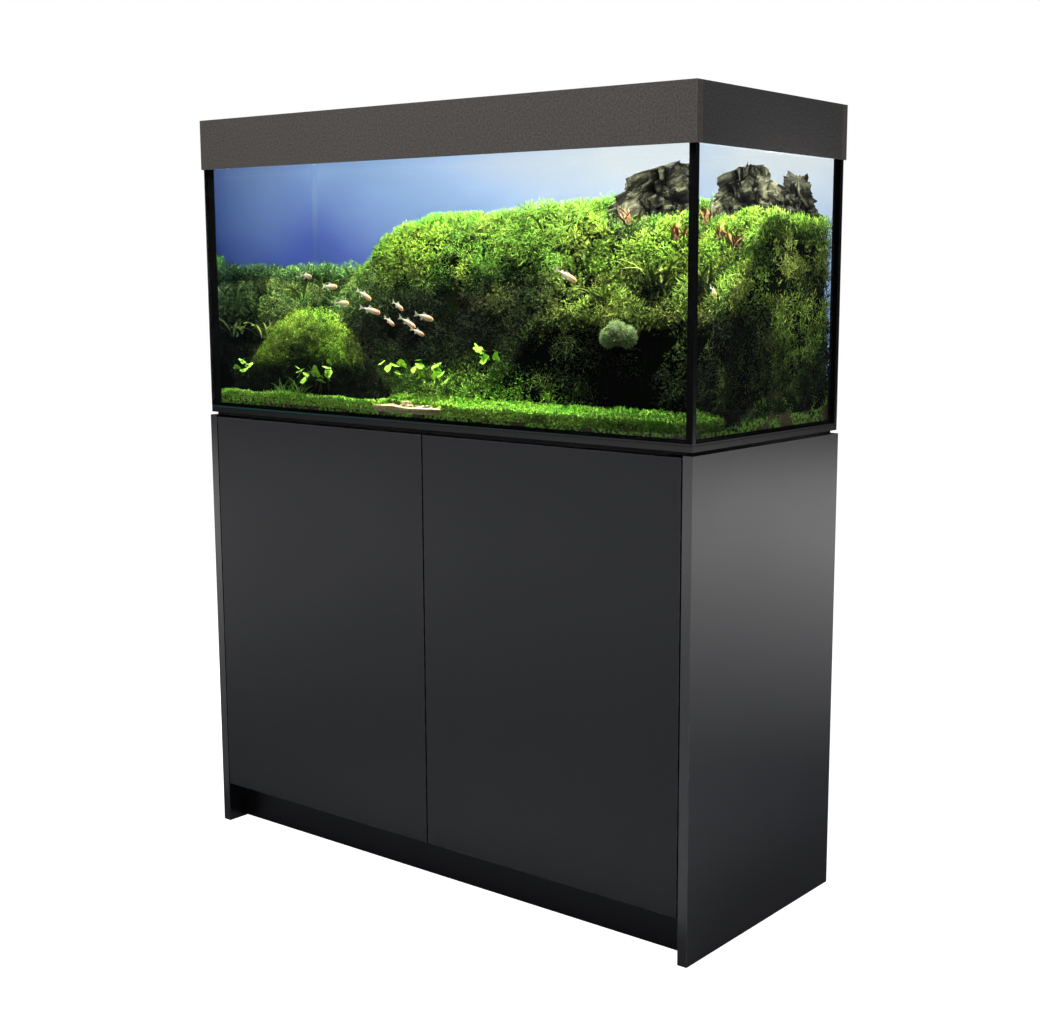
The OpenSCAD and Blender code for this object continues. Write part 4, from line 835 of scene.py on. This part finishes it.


# Species are share, leaf length, leaf width, lowest and highest leaf angle, and tint. Patches are middle,
# size, tint and strength; open ground is middle and size; lift is middle, size and rise.
# The two greens on the next line are painted shade: patches of them darken the hollows and low corners; the second
# is also the slope's shaded tip colour.
shadowGreen, shadeGreen = (0.0012, 0.002, 0.0005), (0.02, 0.032, 0.007)
meadow, lime, fern = (0.24, 0.48, 0.055), (0.24, 0.36, 0.05), (0.1, 0.19, 0.035)
plantings = {
    "ridgeStems": {
        "node": "ridge_planting", "slot": "ridge_green", "plants": 3500, "leaves": 28, "height": 0.036,
        "bushes": 46, "bushSize": 0.095, "clumps": 190, "clumpSize": 0.042, "depth": 0.028,
        "species": [(0.45, 0.0095, 0.0036, 0.1, 1.0, (1.0, 1.0, 1.0)),
                    (0.3, 0.015, 0.0028, -0.2, 0.9, (0.8, 1.0, 0.8)),
                    (0.25, 0.007, 0.0042, 0.0, 0.8, (1.2, 1.0, 0.9))],
        "scatter": 0.3, "spread": 0.005, "fold": 0.25, "inner": (0.003, 0.006, 0.001), "tipPower": 1.2,
        "tip": (0.108, 0.232, 0.024), "shadedTip": (0.018, 0.04, 0.008), "lit": (0.935, 1.01),
        "drop": 0.036, "wild": 0.3, "seed": 11, "lift": ((-0.4, 0.05, 0.96), (0.15, 0.4, 0.2), 0.024),
        "patches": [((-0.4, 0.02, 0.93), (0.2, 0.3, 0.1), (0.04, 0.09, 0.022), 0.9),
                    ((-0.17, 0.0, 0.98), (0.06, 0.2, 0.06), fern, 0.6),
                    ((0.25, 0.03, 1.04), (0.13, 0.12, 0.06), (0.08, 0.125, 0.016), 0.7),
                    # Painted light and shade on the ridge's right face, where the lamps hardly reach: lighter high
                    # up, darker low down.
                    ((0.49, 0.08, 0.99), (0.08, 0.16, 0.07), (0.4, 0.54, 0.09), 0.95),
                    ((0.49, 0.1, 0.9), (0.06, 0.14, 0.06), lime, 0.85),
                    ((0.49, 0.1, 0.81), (0.06, 0.14, 0.05), (0.06, 0.085, 0.014), 0.85)],
        "open": [],
    },
    "slopeFronds": {
        "node": "slope_planting", "slot": "slope_green", "plants": 5200, "leaves": 22, "height": 0.03,
        "bushes": 60, "bushSize": 0.085, "clumps": 230, "clumpSize": 0.04, "depth": 0.028,
        "species": [(0.45, 0.016, 0.0024, -0.8, 0.6, (1.0, 1.0, 1.0)),
                    (0.35, 0.0085, 0.0034, -0.2, 0.9, (1.2, 1.05, 0.9)),
                    (0.2, 0.006, 0.0016, 0.0, 1.2, (0.75, 0.85, 0.9))],
        "scatter": 0.4, "spread": 0.006, "fold": 0.25, "inner": (0.0012, 0.0022, 0.0005), "tipPower": 1.2,
        "tip": (0.112, 0.225, 0.024), "shadedTip": shadeGreen, "lit": (0.945, 1.005),
        "drop": 0.03, "wild": 0.45, "seed": 12,
        "patches": [((0.04, -0.08, 0.845), (0.135, 0.1, 0.075), shadowGreen, 0.96),
                    ((-0.33, -0.08, 0.845), (0.24, 0.09, 0.045), shadowGreen, 0.85),
                    ((-0.38, -0.06, 0.925), (0.16, 0.12, 0.03), fern, 0.6),
                    ((-0.06, -0.06, 0.915), (0.14, 0.12, 0.044), shadowGreen, 0.95),
                    ((-0.16, -0.06, 0.885), (0.13, 0.1, 0.04), shadowGreen, 0.93),
                    ((0.25, -0.06, 1.02), (0.12, 0.1, 0.035), (0.075, 0.11, 0.015), 0.75),
                    ((0.12, -0.06, 0.945), (0.07, 0.1, 0.03), shadeGreen, 0.8),
                    ((0.49, -0.04, 0.82), (0.04, 0.1, 0.06), (0.045, 0.065, 0.011), 0.8),
                    ((0.33, -0.11, 0.8), (0.13, 0.06, 0.055), shadowGreen, 0.93),
                    ((0.3, -0.1, 0.93), (0.085, 0.06, 0.03), lime, 0.8),
                    ((0.45, -0.02, 0.96), (0.06, 0.14, 0.045), lime, 0.85)],
        "open": [((0.04, -0.12, 0.77), (0.13, 0.08, 0.052)), ((0.17, -0.12, 0.765), (0.1, 0.08, 0.042)),
                 ((-0.2, -0.12, 0.76), (0.14, 0.08, 0.018))],
    },
    "mossMound": {
        "node": "moss_mound", "slot": "moss_dark", "plants": 3000, "leaves": 26, "height": 0.012,
        "bushes": 14, "bushSize": 0.07, "clumps": 110, "clumpSize": 0.024, "depth": 0.01,
        "species": [(0.6, 0.005, 0.0013, 0.0, 1.2, (1.0, 1.0, 1.0)),
                    (0.4, 0.0085, 0.0012, -0.3, 0.9, (0.9, 1.0, 0.8))],
        "scatter": 0.4, "spread": 0.004, "fold": 0.2, "inner": (0.0015, 0.003, 0.0006), "tipPower": 1.2,
        "tip": (0.25, 0.42, 0.04), "shadedTip": (0.003, 0.0048, 0.0012), "lit": (0.812, 0.872),
        "drop": 0.01, "wild": 0.3, "seed": 13, "lift": ((-0.31, -0.14, 0.885), (0.17, 0.2, 0.1), 0.03),
        "patches": [], "open": [],
    },
    "carpetLeaves": {
        "node": "carpet_planting", "slot": "carpet_green", "plants": 8600, "leaves": 8, "height": 0.01,
        "bushes": 60, "bushSize": 0.05, "clumps": 330, "clumpSize": 0.017, "depth": 0.004,
        "species": [(0.7, 0.006, 0.0048, 0.1, 0.9, (1.0, 1.0, 1.0)),
                    (0.3, 0.0095, 0.002, 0.3, 1.2, (0.8, 1.0, 0.8))],
        "scatter": 0.3, "spread": 0.003, "fold": 0.2, "inner": (0.014, 0.034, 0.005), "tipPower": 0.6,
        "tip": (0.3, 0.58, 0.065), "shadedTip": (0.26, 0.5, 0.058), "lit": (0.765, 0.79),
        "drop": 0.005, "wild": 0.3, "seed": 14, "clear": "foreground_stones", "clearAround": 0.008,
        "bare": (0.22, 0.18, 0.095), "open": [((-0.4, -0.16, 0.77), (0.22, 0.1, 0.05))],
        "patches": [((0.38, -0.16, 0.76), (0.1, 0.06, 0.03), shadowGreen, 0.75),
                    ((0.47, 0.0, 0.76), (0.06, 0.3, 0.05), shadowGreen, 0.7)],
    },
}


# For every planting: how shoots lean, how tall and deep they stand, and how the painted light and shade and the
# tint vary over them.
growth = {
    "outward": 0.6, "upward": 0.5, "apart": 0.7, "stray": 0.2, "heights": (0.6, 1.15), "rooted": 0.85,
    "clumpSink": 0.6, "bushSink": 0.4, "rise": (-0.75, 0.45), "underside": 0.16, "clumpGap": 0.25,
    "clumpTop": 0.9, "clumpCurve": 1.3, "bushGap": 0.55, "openShade": 0.85, "gain": 1.3,
    "drift": (0.28, 0.14, 0.25), "driftGain": 1.6, "sparkle": (-0.12, 0.5),
}


def upOrOut(normal):
    # Plants root on faces that look up, forward or sideways, and none that hang over.
    up, forward, sideways = normal[:, 2], -normal[:, 1], np.abs(normal[:, 0]) * (normal[:, 2] > -0.5)
    return np.clip(up, 0, 1) + 0.9 * np.clip(forward, 0, 1) + 0.9 * sideways


def makePlanting(name, look):
    # Shoots grow in clumps, and clumps in bushes of one species each. The tint has light from above painted
    # into it: tops of bushes and clumps are painted bright, their undersides and the gaps between them are
    # painted dark; patches pull the tint to theirs.
    dice = np.random.default_rng(look["seed"])
    spots, normals = scatterOn(look["node"], look["plants"], dice, upOrOut)
    for stone in splitSolids(look["clear"]) if "clear" in look else []:
        # No leaves stand between a stone and the front glass.
        ahead = (np.abs(spots[:, 0] - stone[:, 0].mean()) < np.ptp(stone[:, 0]) / 2 + look["clearAround"]) \
            & (spots[:, 1] < stone[:, 1].max() + look["clearAround"])
        spots, normals = spots[~ahead], normals[~ahead]
    bushes = scatterOn(look["node"], look["bushes"], dice, upOrOut)[0]
    centres = scatterOn(look["node"], look["clumps"], dice, upOrOut)[0]
    bushDome, bush = puffs(spots, bushes, look["bushSize"])
    dome, nearest = puffs(spots, centres, look["clumpSize"])
    away = (spots - centres[nearest]) / look["clumpSize"]
    over = smoothRise((spots - bushes[bush])[:, 2] / look["bushSize"], *growth["rise"])
    table = np.array([kind[:5] for kind in look["species"]])
    kinds = dice.choice(len(table), look["bushes"], p=table[:, 0] / table[:, 0].sum())[bush]
    axes = unit(normals * growth["outward"] + upwards * growth["upward"] + away * growth["apart"]
                + dice.normal(0, growth["stray"], spots.shape))
    height = look["height"] * dice.uniform(*growth["heights"], len(spots))
    sunk = look["depth"] * (1 - growth["clumpSink"] * dome - growth["bushSink"] * bushDome)
    roots = spots - normals * sunk[:, None] - axes * (height * growth["rooted"])[:, None]
    if "lift" in look:
        # Taller shoots stand around this place.
        middle, size, rise = look["lift"]
        roots[:, 2] += rise * nearness(spots, middle, size, 2) * dice.uniform(0.2, 1.0, len(spots))
    points, faces, step = shootLeaves(roots, axes, height, table[kinds], look, dice)
    # Painted light from above: higher spots take the lit tip colour, lower ones the shaded tip colour.
    lit = smoothRise(spots[:, 2] + 0.02 * layeredNoise(spots * 14, 5, 2), *look["lit"])[:, None]
    bright = (1 - lit) * look["shadedTip"] + lit * look["tip"]
    bright = bright * np.array([kind[5] for kind in look["species"]])[kinds]
    wild = dice.normal(0, 1, (look["clumps"], 1)) * growth["drift"]
    # Painted shade: the undersides of bushes and the gaps between clumps and bushes are darker.
    shade = (growth["underside"] + (1 - growth["underside"]) * over) \
        * (growth["clumpGap"] + growth["clumpTop"] * dome ** growth["clumpCurve"]) \
        * (growth["bushGap"] + (1 - growth["bushGap"]) * bushDome)
    for middle, size, tint, strength in look["patches"] + [(*spot, meadow, 1.0) for spot in look["open"]]:
        share = strength * nearness(spots, middle, size, 1.5)[:, None]
        bright = bright * (1 - share) + share * tint
    for middle, size in look["open"]:
        # Open ground is painted as if lit evenly: its painted shade is lifted.
        share = nearness(spots, middle, size, 1.5)
        shade = shade * (1 - share) + growth["openShade"] * share
    drift = np.exp(wild[nearest] * look["wild"] * growth["driftGain"])
    bright = bright * drift * (shade * growth["gain"])[:, None]
    # Leaves low on each shoot take the dark inner colour: painted shade deep inside the planting.
    inner = np.minimum(look["inner"], bright * 0.5)[:, None]
    share = (step ** look["tipPower"])[..., None]
    spark = np.exp(dice.normal(*growth["sparkle"], step.shape))[..., None]
    tints = np.clip(((1 - share) * inner + share * bright[:, None]) * spark, 0, 0.8)
    corePoints, coreFaces = shadowCore(look["node"], look["drop"])
    # The core takes half the inner colour: a painted shadow under the leaves.
    coreTints = np.tile(look["inner"], (len(corePoints), 1)) * 0.5
    if "clear" in look:
        # Sand shows on the bare ground round the stones.
        stones = np.vstack(splitSolids(look["clear"]))
        inside = (corePoints > stones.min(0) - 0.02) & (corePoints < stones.max(0) + 0.02)
        coreTints[inside[:, :2].all(1)] = look["bare"]
    core = (plantShade, len(faces))
    points, faces, tints = joinParts([(insideTank(points), faces, np.repeat(tints.reshape(-1, 3), 4, axis=0)),
                                      (corePoints, coreFaces, coreTints)])
    item = addMesh(name, points, faces, plantLeaf, tint=tints, core=core)
    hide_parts(look["node"])
    print(name, len(faces), "faces")


for plantName, plantLook in plantings.items():
    makePlanting(plantName, plantLook)

# ---- single plants, moss balls and fish ----

# Each tuft is a middle and how far its blades stand round it.
bladeLook = {
    "grassTuft": {
        "tufts": [((-0.33, -0.18, 0.764), 0.012), ((-0.292, -0.18, 0.764), 0.01)], "blades": 26,
        "length": 0.048, "width": 0.0013, "droop": 0.5, "lean": 0.75, "root": (0.05, 0.12, 0.02),
        "tip": (0.22, 0.44, 0.07), "seed": 31,
    },
    "longLeaves": {
        "tufts": [((0.15, 0.0, 1.03), 0.03), ((0.25, -0.02, 0.99), 0.03),
                  ((0.36, -0.06, 0.96), 0.03), ((0.44, -0.02, 0.99), 0.026),
                  ((0.468, 0.06, 1.02), 0.02), ((0.29, -0.075, 0.925), 0.024),
                  ((-0.4, 0.0, 0.925), 0.05), ((-0.33, 0.01, 0.93), 0.05),
                  ((-0.455, -0.07, 0.86), 0.02)],
        "blades": 15, "length": 0.075, "width": 0.0052, "droop": 0.9, "lean": 0.9,
        "root": (0.016, 0.03, 0.006), "tip": (0.17, 0.22, 0.035), "seed": 32,
    },
    "redStems": {
        "tufts": [((0.395, -0.045, 1.02), 0.022), ((0.452, -0.06, 1.01), 0.02),
                  ((0.3, 0.0, 1.045), 0.024), ((0.44, 0.06, 1.03), 0.02)],
        "blades": 16, "length": 0.038, "width": 0.0036, "droop": 0.5, "lean": 0.9,
        "root": (0.03, 0.018, 0.008), "tip": (0.15, 0.062, 0.026), "seed": 33,
    },
}


def makeBlades(name, look):
    # A blade is a strip that narrows to its tip and bends over as the square of its length.
    dice = np.random.default_rng(look["seed"])
    rows = 7
    along = np.linspace(0, 1, rows)
    roots = np.concatenate([np.array(spot) + dice.normal(0, 0.5, (look["blades"], 3)) * [size, size, 0]
                            for spot, size in look["tufts"]])
    count = len(roots)
    turn = dice.uniform(0, fullTurn, count)
    out = np.stack([np.cos(turn), np.sin(turn), np.zeros(count)], -1)
    start = unit(upwards + out * (look["lean"] * dice.uniform(0.2, 1.0, count)[:, None]))
    length = look["length"] * dice.uniform(0.6, 1.15, count)
    fall = (along ** 2)[:, None] * (out * 0.6 - upwards * 0.55)[:, None] * look["droop"]
    spine = roots[:, None] + (start[:, None] * along[:, None] + fall) * length[:, None, None]
    half = (look["width"] / 2 * np.sin(np.pi * (0.12 + 0.86 * along)) ** 0.8)[:, None]
    edge = unit(np.cross(start, out + dice.normal(0, 0.2, out.shape)))[:, None] * half
    edges = np.stack([spine - edge, spine + edge], 2)
    faces = (np.arange(count)[:, None] * rows * 2 + np.arange(rows - 1) * 2).reshape(-1, 1) + [0, 1, 3, 2]
    root, tip = np.array(look["root"]), np.array(look["tip"])
    tints = (root + along[:, None, None] * (tip - root)) * dice.uniform(0.6, 1.3, (count, 1, 1, 1))
    tints = np.broadcast_to(tints, edges.shape).reshape(-1, 3)
    item = addMesh(name, insideTank(edges.reshape(-1, 3)), faces, plantLeaf, smooth=True, tint=tints)


for bladeName, look in bladeLook.items():
    makeBlades(bladeName, look)

# Each group is the two corners of the box where its stalks stand, and their number.
roundLook = {
    "groups": [((-0.15, -0.124, 0.792), (0.0, -0.11, 0.808), 34),
               ((0.04, -0.12, 0.822), (0.125, -0.11, 0.834), 9),
               ((-0.46, -0.182, 0.79), (-0.41, -0.176, 0.8), 7),
               ((-0.32, -0.182, 0.78), (-0.2, -0.176, 0.8), 15)],
    "height": (0.008, 0.036), "leaf": 0.0086, "dish": 0.0012, "lobes": 3, "notch": 0.34, "thin": 0.0005,
    "tint": (0.26, 0.48, 0.05), "stalk": (0.02, 0.045, 0.007), "seed": 41,
}


def makeRoundLeaves(look):
    # Each leaf is a shallow dish round its middle, notched between its lobes, on a thin square stalk.
    dice = np.random.default_rng(look["seed"])
    feet = np.vstack([dice.uniform(low, high, (stalks, 3)) for low, high, stalks in look["groups"]])
    count, around = len(feet), look["lobes"] * 6
    tall = dice.uniform(*look["height"], count)
    lean = dice.normal(0, 0.16, (count, 2))
    tops = feet + np.c_[lean * tall[:, None], tall]
    turn = np.linspace(0, 2 * np.pi, around, endpoint=False)
    notched = 1 - look["notch"] * np.abs(np.cos(turn * look["lobes"] / 2)) ** 3
    rim = np.stack([np.cos(turn) * notched, np.sin(turn) * notched, np.zeros(around)], -1) * look["leaf"]
    size = dice.uniform(0.7, 1.2, (count, 1, 1))
    tilt = dice.normal(0, 0.45, (count, 1, 2))
    ring = tops[:, None] + rim * size
    ring[..., 2] += look["dish"] + ((ring - tops[:, None])[..., :2] * tilt).sum(-1)
    points = np.concatenate([ring, tops[:, None]], 1).reshape(-1, 3)
    start = (np.arange(count) * (around + 1))[:, None]
    index = np.arange(around)
    hub = np.broadcast_to(start + around, (count, around))
    faces = np.stack([start + index, start + (index + 1) % around, hub], -1).reshape(-1, 3)
    tints = np.repeat(look["tint"] * dice.uniform(0.6, 1.35, (count, 1)), around + 1, axis=0)
    square = np.array([[-1, -1, 0], [1, -1, 0], [1, 1, 0], [-1, 1, 0]]) * look["thin"]
    posts = np.concatenate([feet[:, None] + square, tops[:, None] + square], 1).reshape(-1, 3)
    walls = [face for a in range(4) for b in [(a + 1) % 4] for face in ([a, b, b + 4], [a, b + 4, a + 4])]
    walls = (np.arange(count)[:, None, None] * 8 + np.array(walls)).reshape(-1, 3)
    points, faces, tints = joinParts([(points, faces, tints),
                                      (posts, walls, np.tile(look["stalk"], (count * 8, 1)))])
    item = addMesh("roundLeaves", points, faces, plantLeaf, tint=tints)


makeRoundLeaves(roundLook)

# Each ball is a middle and a radius.
ballLook = {
    "balls": [((0.327, -0.116, 0.89), 0.017), ((0.345, -0.114, 0.885), 0.014),
              ((0.312, -0.112, 0.883), 0.013), ((0.466, -0.02, 0.862), 0.017),
              ((0.468, -0.004, 0.855), 0.013)],
    "leaves": 1100, "leafLength": 0.0062, "leafWidth": 0.0013, "tint": (0.3, 0.4, 0.16), "rows": 14,
    "around": 20, "seed": 42,
}


def makeMossBalls(look):
    # Short leaves stand out of a ball in every direction.
    dice = np.random.default_rng(look["seed"])
    tilts, turns = np.meshgrid(np.linspace(0, np.pi, look["rows"] + 1)[1:-1],
                               np.linspace(0, 2 * np.pi, look["around"], endpoint=False), indexing="ij")
    ball = np.stack([np.sin(tilts) * np.cos(turns), np.sin(tilts) * np.sin(turns), np.cos(tilts)], -1)
    ball = np.vstack([ball.reshape(-1, 3), [[0, 0, 1], [0, 0, -1]]])
    ballFaces = closedRings(look["rows"] - 1, look["around"])
    parts = []
    for middle, radius in look["balls"]:
        out = unit(dice.normal(0, 1, (look["leaves"], 3)))
        base = middle + out * radius * dice.uniform(0.82, 0.96, (look["leaves"], 1))
        direction = unit(out + dice.normal(0, 0.5, out.shape))
        length = look["leafLength"] * dice.uniform(0.6, 1.1, len(out))
        width = length * look["leafWidth"] / look["leafLength"]
        side = unit(np.cross(direction, dice.normal(0, 1, out.shape)))
        points, faces = kites(base, direction, side, length, width, 0.2)
        # Painted light from above: leaves that point up are lighter, those that point down darker; the rest varies
        # at random.
        shade = (0.35 + 0.65 * np.clip(out[:, 2:], 0, 1)) * dice.uniform(0.6, 1.3, (len(out), 1))
        parts.append((insideTank(points), faces, np.repeat(shade * look["tint"], 4, axis=0)))
        # The ball inside is nearly black, a painted shadow that closes the view between the leaves.
        parts.append((insideTank(middle + ball * radius * 0.85), ballFaces,
                      np.tile(look["tint"], (len(ball), 1)) * 0.15))
    points, faces, tints = joinParts(parts)
    item = addMesh("mossBalls", points, faces, plantLeaf, tint=tints)


makeMossBalls(ballLook)

fishLook = {
    "places": [(-0.272, -0.158, 0.966), (-0.219, -0.149, 0.95), (-0.189, -0.154, 0.924),
               (-0.143, -0.147, 0.931), (-0.124, -0.146, 0.91), (-0.063, -0.163, 0.916),
               (-0.082, -0.165, 0.892), (-0.051, -0.14, 0.889), (-0.003, -0.157, 0.902),
               (-0.022, -0.158, 0.878), (0.278, -0.16, 0.962), (0.478, -0.122, 0.944)],
    "length": 0.042, "tall": 0.0088, "thick": 0.0042, "bodyShare": 0.8, "heading": -12.0, "rings": 22,
    "around": 16, "belly": (0.42, 0.37, 0.26), "back": (0.15, 0.13, 0.08), "head": (0.46, 0.17, 0.06),
    "fin": (0.34, 0.33, 0.25), "eye": (0.01, 0.01, 0.01), "seed": 51,
}


def makeFish(look):
    # The body swells and narrows as a sine along its length; thin plates make the tail, back and belly fins.
    dice = np.random.default_rng(look["seed"])
    size = np.array([look["length"], look["thick"], look["tall"]])
    along = np.linspace(0.004, 1, look["rings"])[:, None]
    turn = np.linspace(0, 2 * np.pi, look["around"], endpoint=False)
    swell = np.sin(np.pi * along ** 0.62) ** 0.75 * 0.93 + 0.07 * (1 - along)
    rings = np.stack([np.repeat(along * look["bodyShare"], look["around"], 1), swell * np.sin(turn) / 2,
                      swell * np.cos(turn) / 2], -1).reshape(-1, 3) * size
    ends = np.array([[0, 0, 0], [look["bodyShare"], 0, 0]]) * size
    body = closedRings(look["rings"], look["around"])[:, ::-1]
    fins = np.array([[0.76, 0, 0.05], [1.0, 0, 0.55], [0.93, 0, 0.0], [1.0, 0, -0.55], [0.76, 0, -0.05],
                     [0.34, 0, 0.46], [0.52, 0, 0.85], [0.58, 0, 0.3], [0.5, 0, -0.36], [0.62, 0, -0.72],
                     [0.66, 0, -0.22]]) * size
    finFaces = np.array([[0, 1, 2], [0, 2, 4], [2, 3, 4], [5, 6, 7], [8, 10, 9]])
    points = np.vstack([rings, ends, fins])
    faces = np.vstack([body, finFaces + len(rings) + len(ends)])
    length, height = rings[:, :1] / look["length"], rings[:, 2:] / look["tall"]
    upper = np.clip(height + 0.5, 0, 1)
    tints = (1 - upper) * look["belly"] + upper * look["back"]
    forward = 0.75 * (1 - smoothRise(length, 0.14, 0.42))
    tints = tints * (1 - forward) + forward * look["head"]
    tints = np.where((np.abs(length - 0.075) < 0.022) & (np.abs(height - 0.1) < 0.14), look["eye"], tints)
    tints = np.vstack([tints, [look["belly"]] * len(ends), [look["fin"]] * len(fins)])
    parts = []
    for place in look["places"]:
        turned = Matrix.Rotation(math.radians(look["heading"] + dice.normal(0, 12)), 3, "Z")
        pitched = Matrix.Rotation(math.radians(dice.normal(10, 7)), 3, "Y")
        spin = np.array(turned @ pitched @ Matrix.Rotation(math.pi, 3, "Z"))
        moved = (points * dice.uniform(0.85, 1.1)) @ spin.T + place
        parts.append((moved, faces, tints * dice.uniform(0.8, 1.2)))
    points, faces, tints = joinParts(parts)
    material, tree, shader = newMaterial("fishSkin", Specular_IOR_Level=0.6, Roughness=0.25)
    scales = signal(tree, "TexVoronoi", Vector=objectPlace(tree), Scale=900.0)
    setShader(tree, shader, Base_Color=signal(tree, "VertexColor", layer_name="tint"),
              Normal=bumped(tree, scales, 0.3, 0.0004))
    addMesh("fishShoal", points, faces, material, smooth=True, tint=tints)


makeFish(fishLook)
print("single plants, moss balls and fish made")
